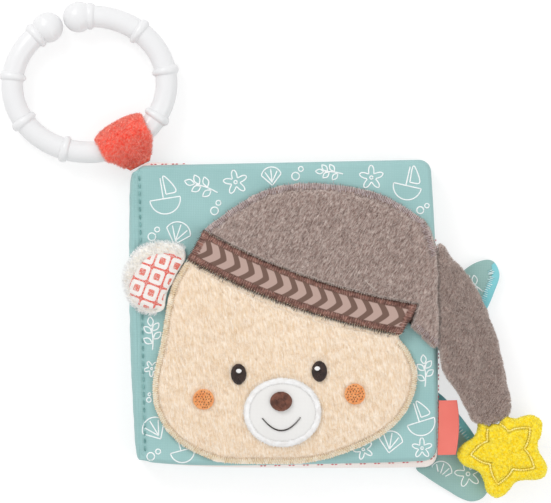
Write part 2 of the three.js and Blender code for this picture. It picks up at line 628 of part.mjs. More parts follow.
function addLoop(link) {
  const outer = loop.bore + loop.cloth;
  const shape = new THREE.Shape();
  const seamZ = panel.cover;
  const wide = loop.chamfer + loop.seam / 2;
  shape.moveTo(0, seamZ - loop.seam / 2);
  shape.lineTo(loop.chamfer, seamZ - wide);
  for (let i = 0; i <= steps.loop; i++) {
    const a = loopOpen * ((2 * i) / steps.loop - 1);
    shape.lineTo(loop.reach + outer * Math.cos(a), link.boreZ + outer * Math.sin(a));
  }
  shape.lineTo(loop.chamfer, seamZ + wide);
  shape.lineTo(0, seamZ + loop.seam / 2);
  const hole = new THREE.Path(ellipse([loop.reach, link.boreZ], 2 * loop.bore, 2 * loop.bore, steps.bore)
    .reverse().map(([x, y]) => new THREE.Vector2(x, y)));
  shape.holes.push(hole);
  const body = new THREE.ExtrudeGeometry(shape, { depth: loop.width, steps: 2, bevelEnabled: false })
    .translate(0, 0, -loop.width / 2).rotateX(Math.PI / 2);
  const place = body.attributes.position;
  for (let i = 0; i < place.count; i++) {
    const open = Math.min(1, place.getX(i) / (loop.reach * loopTaper));
    place.setY(i, place.getY(i) * (loop.foot + (loop.width - loop.foot) * open) / loop.width);
  }
  body.rotateZ(loopHeading).translate(link.foot[0], link.foot[1], 0);
  body.computeVertexNormals();
  addMesh("hanging_loop", body, "loop");
}

const ringPoint = (a) => new THREE.Vector3(ring.halfWidth * Math.cos(a), ring.halfHeight * Math.sin(a), 0);

class RingArc extends THREE.Curve {
  constructor(from, to) {
    super();
    this.from = from;
    this.to = to;
  }
  getPoint(t) {
    return ringPoint(this.from + (this.to - this.from) * t);
  }
}

function tubeAlong(from, to, radius, count, sides) {
  const section = new THREE.Shape(ellipse([0, 0], 2 * radius, 2 * radius, sides)
    .map(([x, y]) => new THREE.Vector2(x, y)));
  return new THREE.ExtrudeGeometry(section, {
    steps: count, bevelEnabled: false, extrudePath: new RingArc(from, to),
  });
}

function addRing(link) {
  const open = ringMouth.last - 2 * Math.PI;
  let body = solid(tubeAlong(open, ringMouth.first, ring.tube, steps.tube, steps.side));
  for (const end of [open, ringMouth.first]) {
    const ball = new THREE.SphereGeometry(ring.ball, 14, 9);
    const at = ringPoint(end);
    body = body.add(solid(ball.translate(at.x, at.y, at.z)));
  }
  const firstCollar = ringMouth.first - collarInset.first;
  const lastCollar = open + collarInset.last;
  const halfLength = ring.collarLength / (ring.halfWidth + ring.halfHeight);
  for (let i = 0; i <= collarSteps; i++) {
    const a = firstCollar + ((lastCollar - firstCollar) * i) / collarSteps;
    if (i === collarUnderLoop) continue;
    body = body.add(solid(tubeAlong(a - halfLength, a + halfLength, ring.collar, 1, 14)));
  }
  const crossing = ringPoint(ringCrossing);
  const ringNormal = Math.atan2(
    Math.sin(ringCrossing) / ring.halfHeight, Math.cos(ringCrossing) / ring.halfWidth) + Math.PI;
  const sway = (loop.width / 2) ** 2 / (2 * (ring.halfWidth + ring.halfHeight));
  const geometry = geometryOf(body).translate(-crossing.x, -crossing.y, 0).rotateZ(loopHeading - ringNormal)
    .translate(-link.across[0] * sway, -link.across[1] * sway, 0);
  const mesh = addMesh("link_ring", geometry, "ring");
  const drop = link.boreZ - ring.ball - ring.lift;
  const tilt = Math.asin(drop / (ring.halfWidth + ring.halfHeight));
  mesh.position.set(...link.bore);
  mesh.quaternion.setFromAxisAngle(link.tangent, -tilt);
}

addCovers();
addSpine();
addFeatures(addFace());
addCap();
addEar();
addTail();
addStar();
addFin("upper_fin", upperFinShares, upperFinCentreShare);
addFin("lower_fin", lowerFinShares, lowerFinCentreShare);
addTab();
const link = placeLink();
addLoop(link);
addRing(link);

export default book;
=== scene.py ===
"""Looks of the cloth baby book: cotton covers, plush face and cap, terry star, stitched trims, link ring.

Lengths are in millimetres until a mesh is made. Every surface is a formula on a numpy grid.
"""
import math

import bpy
import numpy as np
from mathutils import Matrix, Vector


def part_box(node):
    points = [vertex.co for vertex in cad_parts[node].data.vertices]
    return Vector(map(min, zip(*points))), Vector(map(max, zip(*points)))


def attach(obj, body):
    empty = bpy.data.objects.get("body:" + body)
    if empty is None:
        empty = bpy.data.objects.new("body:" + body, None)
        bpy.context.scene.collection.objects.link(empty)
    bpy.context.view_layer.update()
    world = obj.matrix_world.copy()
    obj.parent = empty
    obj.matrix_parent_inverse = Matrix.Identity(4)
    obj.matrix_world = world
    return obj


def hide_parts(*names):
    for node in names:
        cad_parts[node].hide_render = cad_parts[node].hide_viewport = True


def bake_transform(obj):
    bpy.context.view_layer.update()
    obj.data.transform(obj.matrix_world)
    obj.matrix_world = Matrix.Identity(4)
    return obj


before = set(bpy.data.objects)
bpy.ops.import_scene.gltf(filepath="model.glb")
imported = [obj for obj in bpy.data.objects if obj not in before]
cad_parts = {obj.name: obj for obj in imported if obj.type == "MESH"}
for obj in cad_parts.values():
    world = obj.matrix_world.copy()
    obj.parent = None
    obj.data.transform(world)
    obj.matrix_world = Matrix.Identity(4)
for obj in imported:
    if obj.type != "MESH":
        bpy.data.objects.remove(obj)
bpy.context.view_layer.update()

MM = 0.001
TAU = 2 * math.pi
GAP = 0.35
rng = np.random.default_rng(20)


def box(node):
    """A node's lowest and highest corner in millimetres."""
    low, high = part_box(node)
    return np.array(low) / MM, np.array(high) / MM


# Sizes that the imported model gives, with the four that its boxes don't show.
LINING_LOW, LINING_HIGH = box("front_cover_lining")
COVER_WIDTH = -2 * LINING_LOW[0]
COVER_HEIGHT = 2 * LINING_HIGH[1]
COVER_REACH, LEAF_DROP, CORNER, SEAM = 0.9, 3.0, 5.0, 0.3
COVER_BULGE = LINING_HIGH[0] - COVER_WIDTH / 2 - COVER_REACH
FORE_EDGE = COVER_WIDTH / 2 + COVER_REACH + COVER_BULGE
COVER_TOP = box("front_cover_cloth")[1][2]
PAD_BOTTOM = box("face_plush")[0][2]

# Outlines as shares of the cover's width and height, from its centre.
BAND_END_SHARES = np.array([[-0.296, 0.229], [0.417, -0.035]])
FACE_EDGE_SHARES = [
    (-0.335, 0.168), (-0.391, 0.05), (-0.421, -0.094), (-0.452, -0.232), (-0.447, -0.315), (-0.388, -0.415),
    (-0.255, -0.483), (-0.095, -0.495), (0.066, -0.494), (0.18, -0.474), (0.334, -0.413), (0.416, -0.33),
    (0.446, -0.224), (0.42, -0.143), (0.389, -0.104)]
FACE_CENTRE_SHARE = (-0.03, -0.2)
CROWN_EDGE_SHARES = [
    (0.43, -0.06), (0.5119, -0.13), (0.5199, -0.1), (0.5214, 0.05), (0.5204, 0.18), (0.482, 0.288),
    (0.446, 0.32), (0.34, 0.383), (0.18, 0.421), (0.046, 0.426), (-0.061, 0.405), (-0.169, 0.349),
    (-0.262, 0.281)]
CROWN_CENTRE_SHARE = (0.2, 0.17)
EAR_EDGE_SHARES = [
    (-0.413, 0.012), (-0.399, 0.062), (-0.366, 0.125), (-0.332, 0.187), (-0.345, 0.226), (-0.403, 0.239),
    (-0.45, 0.235), (-0.492, 0.217), (-0.524, 0.178), (-0.541, 0.13), (-0.535, 0.075), (-0.51, 0.03),
    (-0.465, 0.004)]
EAR_PATCH_SHARES = [
    (-0.419, 0.024), (-0.407, 0.062), (-0.374, 0.125), (-0.345, 0.179), (-0.375, 0.199), (-0.445, 0.196),
    (-0.493, 0.157), (-0.525, 0.09), (-0.512, 0.047), (-0.465, 0.0185)]
EAR_CENTRE_SHARE = (-0.45, 0.12)
TAIL_EDGE_SHARES = [
    (0.5309, -0.165), (0.5369, -0.207), (0.5604, -0.247), (0.5884, -0.287), (0.6144, -0.34),
    (0.6374, -0.381), (0.6594, -0.391), (0.6884, -0.3925), (0.7224, -0.3855), (0.7514, -0.364),
    (0.7614, -0.325), (0.7474, -0.256), (0.7324, -0.183), (0.7174, -0.115), (0.6944, -0.046),
    (0.6764, 0.004), (0.6474, 0.062), (0.6134, 0.113), (0.5684, 0.165), (0.5304, 0.213), (0.5294, 0.1),
    (0.5294, -0.05)]
TAIL_CENTRE_SHARE = (0.6344, -0.12)
TAIL_TIP_SHARE = (0.6904, -0.325)
STAR_TURN = math.radians(-31)
STAR_CENTRE_SHARE = (0.7394, -0.4875)
UPPER_FIN_SHARES = [
    (0.49, -0.142), (0.5708, -0.13), (0.6308, -0.09), (0.6878, -0.015), (0.7168, 0.046), (0.7368, 0.107),
    (0.7198, 0.149), (0.6988, 0.158), (0.6578, 0.149), (0.6178, 0.125), (0.5708, 0.08), (0.49, 0.055)]
UPPER_FIN_CENTRE_SHARE = (0.6108, 0.01)
LOWER_FIN_SHARES = [
    (0.49, -0.47), (0.462, -0.49), (0.438, -0.543), (0.469, -0.57), (0.507, -0.597), (0.547, -0.622),
    (0.586, -0.646), (0.625, -0.659), (0.664, -0.647), (0.69, -0.6), (0.675, -0.5), (0.63, -0.42),
    (0.573, -0.344), (0.529, -0.296), (0.49, -0.275)]
LOWER_FIN_CENTRE_SHARE = (0.585, -0.52)


def of_cover(shares):
    """Places in millimetres from shares of the cover's width and height."""
    return np.asarray(shares, float) * [COVER_WIDTH, COVER_HEIGHT]


# Curves in the plane.
def turned(angle):
    """The rotation by an angle, as a matrix for columns."""
    return np.array([[math.cos(angle), -math.sin(angle)], [math.sin(angle), math.cos(angle)]])


def unit(vectors):
    """The vectors, each divided by its length."""
    return vectors / np.maximum(np.linalg.norm(vectors, axis=-1, keepdims=True), 1e-9)


def steps_of(line):
    """The lengths between a line's points."""
    return np.linalg.norm(np.diff(line, axis=0), axis=1)


def run_of(line):
    """How far along the line each of its points lies."""
    return np.concatenate([[0], np.cumsum(steps_of(line))])


def catmull(points, closed, per_span=24):
    """Centripetal Catmull-Rom curve through the points, evenly sampled in each span."""
    points = np.asarray(points, float)
    if closed:
        ends = [points[-1:], points, points[:2]]
    else:
        ends = [2 * points[:1] - points[1:2], points, 2 * points[-1:] - points[-2:-1]]
    p = np.concatenate(ends)
    out = []
    for a, b, c, d in zip(p, p[1:], p[2:], p[3:]):
        k1 = np.linalg.norm(b - a) ** 0.5
        k2 = k1 + np.linalg.norm(c - b) ** 0.5
        k3 = k2 + np.linalg.norm(d - c) ** 0.5
        t = np.linspace(k1, k2, per_span, endpoint=False)[:, None]
        ab = (k1 - t) / k1 * a + t / k1 * b
        bc = (k2 - t) / (k2 - k1) * b + (t - k1) / (k2 - k1) * c
        cd = (k3 - t) / (k3 - k2) * c + (t - k2) / (k3 - k2) * d
        abc = (k2 - t) / k2 * ab + t / k2 * bc
        bcd = (k3 - t) / (k3 - k1) * bc + (t - k1) / (k3 - k1) * cd
        out.append((k2 - t) / (k2 - k1) * abc + (t - k1) / (k2 - k1) * bcd)
    if not closed:
        out.append(points[-1:])
    return np.concatenate(out)


def resample(line, count, closed=True):
    """The line again with points at even steps of its length."""
    path = np.vstack([line, line[:1]]) if closed else np.asarray(line)
    run = run_of(path)
    at = np.linspace(0, run[-1], count, endpoint=not closed)
    return np.stack([np.interp(at, run, path[:, k]) for k in range(path.shape[1])], 1)


def ellipse(centre, width, height, count):
    """Half the width times cosine, half the height times sine, round the centre."""
    a = np.arange(count) * TAU / count
    return np.stack([centre[0] + width / 2 * np.cos(a), centre[1] + height / 2 * np.sin(a)], 1)


def panel_outline(grow=0.0, drop=0.0):
    """Four quarter circles joined by lines; its fore-edge bulges as a parabola, drop lowers a corner."""
    half = np.array([COVER_WIDTH, COVER_HEIGHT]) / 2 + grow
    radius = CORNER + grow
    a = np.linspace(0, TAU / 4, 24)
    parts = []
    for quarter, (sx, sy) in enumerate([(1, 1), (-1, 1), (-1, -1), (1, -1)]):
        turn = a + quarter * TAU / 4
        corner = np.array([sx, sy]) * (half - radius)
        parts.append(corner + radius * np.stack([np.cos(turn), np.sin(turn)], 1))
    line = resample(np.concatenate(parts), 480)
    out = COVER_REACH + COVER_BULGE * (1 - (line[:, 1] / half[1]) ** 2)
    fall = drop * np.maximum(0, -line[:, 1] / half[1]) * (line[:, 0] / COVER_WIDTH + 0.5)
    line[:, 0] += out * np.maximum(0, line[:, 0] / half[0])
    line[:, 1] -= fall
    return line


# The cap band's middle line is an arc; places beside it are an offset across.
BAND_LOW, BAND_HIGH = box("cap_band")
BAND_WIDTH = 14.6
BAND_SAG = 4.2
BAND_END_REACH = 1.2
BAND_END_SLANT = 0.41
BAND_LEFT, BAND_RIGHT = of_cover(BAND_END_SHARES)
BAND_SPAN = float(np.linalg.norm(BAND_RIGHT - BAND_LEFT))
BAND_WAY = (BAND_RIGHT - BAND_LEFT) / BAND_SPAN
BAND_RADIUS = BAND_SPAN ** 2 / (8 * BAND_SAG) + BAND_SAG / 2
BAND_HALF_ANGLE = math.asin(BAND_SPAN / 2 / BAND_RADIUS)


def band_point(share, offset):
    """A point on the band's arc, offset towards the crown; the last quarter is drawn out at a slant."""
    ux, uy = BAND_WAY
    longer = BAND_END_REACH + BAND_END_SLANT * np.asarray(offset)
    share = share + longer / BAND_SPAN * np.clip(share * 4 - 3, 0, 1) ** 2
    a = BAND_HALF_ANGLE * (2 * np.asarray(share) - 1)
    along = BAND_SPAN / 2 + (BAND_RADIUS - offset) * np.sin(a)
    across = (BAND_RADIUS - BAND_SAG) - (BAND_RADIUS - offset) * np.cos(a)
    return BAND_LEFT + np.stack([ux * along - uy * across, uy * along + ux * across], -1)


# Noise and meshes.
def waves(points, wavelength, seed, count=14):
    """Smooth noise: a sum of plane waves in random directions, about -1 to 1."""
    local = np.random.default_rng(seed)
    directions = unit(local.normal(size=(count, points.shape[-1])))
    numbers = TAU / wavelength * local.uniform(0.7, 1.4, count)
    total = np.zeros(points.shape[:-1])
    for direction, number, phase in zip(directions, numbers, local.uniform(0, TAU, count)):
        total += np.sin(points @ direction * number + phase)
    return total / math.sqrt(count) * 0.8


def make_mesh(name, points, faces, uv=None, tone=None):
    """One smooth mesh object from points in millimetres and face arrays, with a uv map and a tone."""
    mesh = bpy.data.meshes.new(name)
    points = np.asarray(points, float).reshape(-1, 3) * MM
    faces = [np.asarray(some) for some in faces]
    loops = np.concatenate([some.ravel() for some in faces]).astype(np.int32)
    sizes = np.concatenate([np.full(*some.shape) for some in faces]).astype(np.int32)
    starts = np.concatenate([[0], np.cumsum(sizes)[:-1]]).astype(np.int32)
    mesh.vertices.add(len(points))
    mesh.vertices.foreach_set("co", points.ravel())
    mesh.loops.add(len(loops))
    mesh.loops.foreach_set("vertex_index", loops)
    mesh.polygons.add(len(sizes))
    mesh.polygons.foreach_set("loop_start", starts)
    mesh.polygons.foreach_set("loop_total", sizes)
    mesh.polygons.foreach_set("use_smooth", np.ones(len(sizes), bool))
    if uv is not None:
        layer = mesh.uv_layers.new(name="cloth")
        layer.data.foreach_set("uv", np.asarray(uv, float).reshape(-1, 2)[loops].ravel())
    if tone is not None:
        layer = mesh.attributes.new("tone", "FLOAT", "POINT")
        layer.data.foreach_set("value", np.asarray(tone, float).ravel())
    mesh.update()
    mesh.validate()
    obj = bpy.data.objects.new(name, mesh)
    bpy.context.scene.collection.objects.link(obj)
    return obj


def grid_faces(rows, columns, start=0):
    """Quads between rows of points, where each row is a closed ring."""
    r, c = np.meshgrid(np.arange(rows - 1), np.arange(columns), indexing="ij")
    after = (c + 1) % columns
    here, below = r * columns, (r + 1) * columns
    return start + np.stack([here + c, below + c, below + after, here + after], -1).reshape(-1, 4)


def grid_normals(p):
    """Unit normals of rings of points: the cross product of the steps down and along the rings."""
    along = np.roll(p, -1, 1) - np.roll(p, 1, 1)
    return unit(np.cross(np.gradient(p, axis=0), along))


def closed_rings(p):
    """Points and faces of rings from pole to pole: quads between the rings and a fan at each end."""
    rows, columns = p.shape[:2]
    count = rows * columns
    poles = np.stack([p[0].mean(0), p[-1].mean(0)])
    i = np.arange(columns)
    j = (i + 1) % columns
    last_ring = count - columns
    first = np.stack([np.full(columns, count), i, j], 1)
    last = np.stack([np.full(columns, count + 1), last_ring + j, last_ring + i], 1)
    return np.vstack([p.reshape(-1, 3), poles]), [grid_faces(rows, columns), first, last]


def ring_mesh(name, p, uv=None):
    """One closed mesh of rings."""
    points, faces = closed_rings(p)
    return make_mesh(name, points, faces, uv)


def sheet(over, under):
    """Rings across a strip of cloth: over its upper side and back along its underside."""
    return np.concatenate([over, under[:, ::-1]], 1)


def with_height(xy, z):
    """Points of the plane with a height each."""
    return np.concatenate([xy, z[..., None]], -1)


CROWN_POWER = 3
WALL_LIFT, WALL_POWER = 2.4, 9


def swell(share, power=CROWN_POWER):
    """1 in the middle, falling to 0 at the outline: the root of 1 less a power of the share."""
    return np.sqrt(np.maximum(0, 1 - share ** power))


class Pad:
    """A padded shape over an outline that its centre sees all round.

    Its height is base + seam + crown * swell(share), where share says how far out a point lies.
    A roll takes the place of the swell by a quarter circle at the rim, and a wall makes the rim
    stand up. A lift carries the pad on another one, and a grain adds its wrinkles.
    """

    def __init__(self, outline, centre, base, seam, crown, lift=None, roll=None, wall=None, grain=None):
        """Keeps the parts of the formula, and the outline's reach by its angle from the centre."""
        self.outline, self.centre = outline, np.asarray(centre, float)
        self.base, self.seam, self.crown = base, seam, crown
        self.lift, self.roll, self.wall, self.grain = lift, roll, wall, grain
        rel = outline - self.centre
        angle = np.arctan2(rel[:, 1], rel[:, 0])
        order = np.argsort(angle)
        self.angles = angle[order]
        self.reach = np.linalg.norm(rel, axis=1)[order]

    def reach_at(self, xy):
        """The outline's distance from the centre in the direction of each point."""
        rel = xy - self.centre
        angle = np.arctan2(rel[..., 1], rel[..., 0])
        return np.interp(angle, self.angles, self.reach, period=TAU)

    def share(self, xy):
        """0 at the centre, 1 on the outline."""
        return np.clip(np.linalg.norm(xy - self.centre, axis=-1) / self.reach_at(xy), 0, 1)

    def rise(self, xy, share=None):
        """The height over the base."""
        share = self.share(xy) if share is None else share
        if self.wall:
            k = self.wall(xy)
            stood = WALL_LIFT * k
            return self.seam + stood + (self.crown - stood) * swell(share, CROWN_POWER + WALL_POWER * k)
        if self.roll:
            inward = np.clip((1 - share) * self.reach_at(xy) / self.roll(xy), 0, 1)
            return self.seam + self.crown * swell(1 - inward, 2)
        return self.seam + self.crown * swell(share)

    def top(self, xy, share=None):
        """The upper surface's height, with lift and grain."""
        z = self.base + self.rise(xy, share)
        for more in (self.lift, self.grain):
            if more:
                z = z + more(xy)
        return z

    def on_top(self, xy, above=0.0):
        """The places set on the upper surface, or a little above it."""
        return with_height(xy, self.top(xy) + above)

    def rings(self, count, rings, under, below=None, detail=None):
        """Rings over the top, round the rim and back under, moved along their normals by detail(points)."""
        line = resample(self.outline, count)
        shares = np.sin(TAU / 4 * np.arange(1, rings + 1) / rings)
        xy = self.centre + (line - self.centre)[None] * shares[:, None, None]
        share = np.repeat(shares[:, None], count, 1)
        top = with_height(xy, self.top(xy, share))
        low = np.linspace(1, 0.02, under)
        under_xy = self.centre + (line - self.centre)[None] * low[:, None, None]
        lift = self.lift(under_xy) if self.lift else np.zeros(under_xy.shape[:2])
        if below is None:
            z = np.full(under_xy.shape[:2], self.base) + lift
        else:
            z = self.base + lift - below(under_xy, np.repeat(low[:, None], count, 1))
        p = np.concatenate([top, with_height(under_xy, z)])
        if detail is not None:
            amount = detail(p)
            if below is None:
                amount = amount * (p[..., 2] > self.base + 0.05)[..., None]
            p = p + grid_normals(p) * amount
        return p


# How light the skin and its fibres look: the skin darker, as painted shade under the pile, and both lighter,
# as painted light, where they turn away from above.
ROOT_SHADE_TONE, FIBRE_TONE, PAINTED_SIDE_LIGHT = 0.42, 0.5, 0.3


# Each pile: how many fibres, their length and width in mm, where they lean and how unevenly they stand.
PILES = {"face_fur": (52000, 1.5, 0.16, (-0.1, -0.4, 0), 0.45),
         "cap_fur": (40000, 1.2, 0.2, (-0.35, -0.5, 0), 0.35),
         "ear_pile": (14000, 1.7, 0.16, (-0.6, 0.2, 0), 0.4),
         "tail_fur": (40000, 1.2, 0.2, (-0.2, -0.6, 0), 0.35),
         "star_terry": (22000, 0.6, 0.25, (0, 0, 0), 0.8),
         "loop_plush": (20000, 1.1, 0.2, (0, 0, 0), 0.6)}


def pile(p, seed, bare, count, length, width, lean, spread):
    """Fibres on a grid of rings: a random place by area, a foot, a middle and a tip that lean and spread."""
    local = np.random.default_rng(seed)
    q = np.roll(p, -1, 1)
    a, b, c, d = p[:-1], p[1:], q[1:], q[:-1]
    area = np.linalg.norm(np.cross(b - a, d - a), axis=-1).ravel()
    run = np.cumsum(area)
    pick = np.searchsorted(run, local.uniform(0, run[-1], count))
    u, v = local.uniform(size=(2, count, 1))
    a, b, c, d = [corner.reshape(-1, 3)[pick] for corner in (a, b, c, d)]
    foot = (a * (1 - u) + b * u) * (1 - v) + (d * (1 - u) + c * u) * v
    normal = grid_normals(p)[:-1].reshape(-1, 3)[pick]
    if bare is not None:
        kept = ~bare(foot)
        foot, normal, count = foot[kept], normal[kept], int(kept.sum())
    side = unit(np.cross(normal, local.normal(size=(count, 3))))
    push = np.asarray(lean, float) + local.normal(size=(count, 3)) * spread
    push -= normal * np.sum(push * normal, 1, keepdims=True)
    tall = length * local.uniform(0.6, 1.2, (count, 1))
    middle = foot + tall * (0.6 * normal + 0.35 * push)
    tip = foot + tall * (0.8 * normal + push)
    foot = foot - 0.2 * length * normal
    half = side * width / 2
    points = np.stack([foot - half, foot + half, middle + half * 0.7, middle - half * 0.7, tip], 1)
    i = np.arange(count)[:, None] * 5
    # A fibre's tone: random, plus painted light where its foot faces sideways.
    tone = local.normal(FIBRE_TONE, 0.1, count) + PAINTED_SIDE_LIGHT * (1 - np.clip(normal[:, 2], 0, 1))
    return points.reshape(-1, 3), [i + [0, 1, 2, 3], i + [3, 2, 4]], np.repeat(tone, 5)


def furry(name, p, seed, bare=None):
    """A closed skin of rings with its pile in the same mesh; the tone says how light the pile is, with
    painted shade on the skin under the pile and painted light where it turns to the side.
    """
    points, faces = closed_rings(p)
    # The skin's tone: painted shade under the pile, plus painted light where the skin faces sideways.
    painted_side_share = 1 - np.clip(grid_normals(p)[..., 2], 0, 1)
    skin_tone = np.append(ROOT_SHADE_TONE + PAINTED_SIDE_LIGHT * painted_side_share.ravel(), [ROOT_SHADE_TONE, ROOT_SHADE_TONE])
    hairs, hair_faces, hair_tone = pile(p, seed, bare, *PILES[name])
    faces = faces + [some + len(points) for some in hair_faces]
    return make_mesh(name, np.vstack([points, hairs]), faces, tone=np.concatenate([skin_tone, hair_tone]))


THREAD_SIDES = 5


def threads(name, lines, radius):
    """Stitches along the given lines: rings of an even radius that rounds off towards both ends."""
    lines = np.asarray(lines, float)
    count, rows = lines.shape[:2]
    t = np.linspace(0, 1, rows)
    way = unit(np.gradient(lines, axis=1))
    side = unit(np.cross(way, [0, 0, 1]))
    up = np.cross(side, way)
    thick = radius * np.sqrt(np.maximum(0.04, 1 - (2 * t - 1) ** 6))
    a = np.arange(THREAD_SIDES) * TAU / THREAD_SIDES
    ring = side[:, :, None] * np.cos(a)[:, None] + up[:, :, None] * np.sin(a)[:, None]
    p = lines[:, :, None] + ring * thick[None, :, None, None]
    each = rows * THREAD_SIDES
    start = np.arange(count)[:, None] * each
    quads = (start[..., None] + grid_faces(rows, THREAD_SIDES)).reshape(-1, 4)
    first = start + np.arange(THREAD_SIDES)[::-1]
    last = start + each - THREAD_SIDES + np.arange(THREAD_SIDES)
    return make_mesh(name, p, [quads[:, ::-1], first[:, ::-1], last[:, ::-1]])


def sew(pad, a, b, above=0.1, bow=0.2, rows=7):
    """Lines from a to b that lie on the pad, raised by their bow in the middle."""
    t = np.linspace(0, 1, rows)
    flat = a[:, None] + (b - a)[:, None] * t[None, :, None]
    p = pad.on_top(flat, above)
    p[..., 2] += bow * 4 * t * (1 - t)
    return p


def offset_line(line, inward, closed=True):
    """The line moved along its left normals, which point inwards on an anticlockwise outline."""
    if closed:
        way = np.roll(line, -1, 0) - np.roll(line, 1, 0)
    else:
        way = np.gradient(line, axis=0)
    way = unit(way)
    return line + np.stack([-way[:, 1], way[:, 0]], 1) * np.reshape(inward, (-1, 1))


def edge_stitches(name, pad, line, inner, outer, pitch, radius, seed, above, closed=False, zigzag=False,
                  uneven=0.15):
    """Stitches across a pad's edge from outer to inner, either side by side or as a zigzag."""
    local = np.random.default_rng(seed)
    count = int(np.sum(steps_of(line)) / pitch)
    even = resample(line, count, closed)
    a = offset_line(even, outer + local.normal(0, uneven, count), closed)
    b = offset_line(even, inner + local.normal(0, uneven, count), closed)
    if zigzag:
        a, b = np.vstack([a[:-1], b[:-1]]), np.vstack([b[:-1], a[1:]])
    return threads(name, sew(pad, a, b, above, radius), radius)


PRINT_RISE = 0.05


def ribbons(name, lines, pad, width):
    """Printed lines: low closed strips that follow the cloth, at five levels so that none coincide."""
    points, quads, start = [], [], 0
    for i, line in enumerate(lines):
        left = offset_line(line, width / 2, False)
        right = offset_line(line, -width / 2, False)
        top = PRINT_RISE + 0.02 * (i % 5)
        rim = [pad.on_top(left, -0.1), pad.on_top(left, top), pad.on_top(right, top), pad.on_top(right, -0.1)]
        points.append(np.stack(rim, 1).reshape(-1, 3))
        quads.append(grid_faces(len(line), 4, start)[:, ::-1])
        after = start + 4 * len(line)
        quads.append([range(start, start + 4), range(after - 1, after - 5, -1)])
        start = after
    return make_mesh(name, np.vstack(points), quads)


# Materials. Colours are sRGB hex values.
def linear(colour):
    """An sRGB hex value as linear red, green, blue, alpha."""
    value = np.array([int(colour[i:i + 2], 16) for i in (1, 3, 5)]) / 255
    return tuple(np.where(value <= 0.04045, value / 12.92, ((value + 0.055) / 1.055) ** 2.4)) + (1.0,)


def add_node(tree, kind, settings=None, inputs=None):
    """One node: its settings by name, and its inputs as values or as sockets to link."""
    node = tree.nodes.new(kind)
    for key, value in (settings or {}).items():
        setattr(node, key, value)
    for key, value in (inputs or {}).items():
        if isinstance(value, bpy.types.NodeSocket):
            tree.links.new(value, node.inputs[key])
        else:
            node.inputs[key].default_value = value
    return node


def start_material(name, roughness, sheen, **more):
    """A Principled material, its tree, its shader and the Object coordinate."""
    material = bpy.data.materials.new(name)
    material.use_nodes = True
    tree = material.node_tree
    shader = tree.nodes["Principled BSDF"]
    shader.inputs["Roughness"].default_value = roughness
    shader.inputs["Sheen Weight"].default_value = sheen
    shader.inputs["Sheen Roughness"].default_value = 0.5
    for key, value in more.items():
        shader.inputs[key.replace("_", " ")].default_value = value
    place = tree.nodes.new("ShaderNodeTexCoord").outputs["Object"]
    return material, tree, shader, place


def per_metre(size):
    """A pattern's scale from the size in millimetres of one of its cells."""
    return 1 / (size * MM)


def uneven_surface(tree, shader, place, size, strength, depth=0.2):
    """Irregular grain that stands out; its size and depth are in millimetres."""
    grain = add_node(tree, "ShaderNodeTexNoise", None,
                     {"Vector": place, "Scale": per_metre(size), "Detail": 4.0})
    bump = add_node(tree, "ShaderNodeBump", None,
                    {"Height": grain.outputs["Fac"], "Strength": strength, "Distance": depth * MM})
    tree.links.new(bump.outputs["Normal"], shader.inputs["Normal"])


# A wave texture draws about 3.2 bands in each of its cells.
BANDS_PER_CELL = 3.2
WEAVE_DEPTH = 0.2
CLOUD_SIZE = 18.182


def cotton(name, colour, dark, thread_space=0.75):
    """Plain-woven cotton, matt: threads over and under each other give a fine even grain.

    The thread space is about twice the real one, so that the weave shows.
    """
    material, tree, shader, place = start_material(name, 0.92, 0.15, Specular_IOR_Level=0.15)
    bands = [add_node(tree, "ShaderNodeTexWave", {"wave_type": "BANDS", "bands_direction": axis},
                      {"Vector": place, "Scale": per_metre(thread_space * BANDS_PER_CELL), "Distortion": 0.6,
                       "Detail": 1.0, "Detail Scale": 0.4}) for axis in "XY"]
    weave = add_node(tree, "ShaderNodeMath", {"operation": "MULTIPLY"},
                     {0: bands[0].outputs["Fac"], 1: bands[1].outputs["Fac"]})
    cloud = add_node(tree, "ShaderNodeTexNoise", None,
                     {"Vector": place, "Scale": per_metre(CLOUD_SIZE), "Detail": 3.0})
    tint = add_node(tree, "ShaderNodeMath", {"operation": "MULTIPLY_ADD", "use_clamp": True},
                    {0: weave.outputs[0], 1: 0.45, 2: cloud.outputs["Fac"]})
    mix = add_node(tree, "ShaderNodeMix", {"data_type": "RGBA"},
                   {"Factor": tint.outputs[0], "A": linear(dark), "B": linear(colour)})
    tree.links.new(mix.outputs["Result"], shader.inputs["Base Color"])
    bump = add_node(tree, "ShaderNodeBump", None,
                    {"Height": weave.outputs[0], "Strength": 0.35, "Distance": WEAVE_DEPTH * MM})
    tree.links.new(bump.outputs["Normal"], shader.inputs["Normal"])
    return material


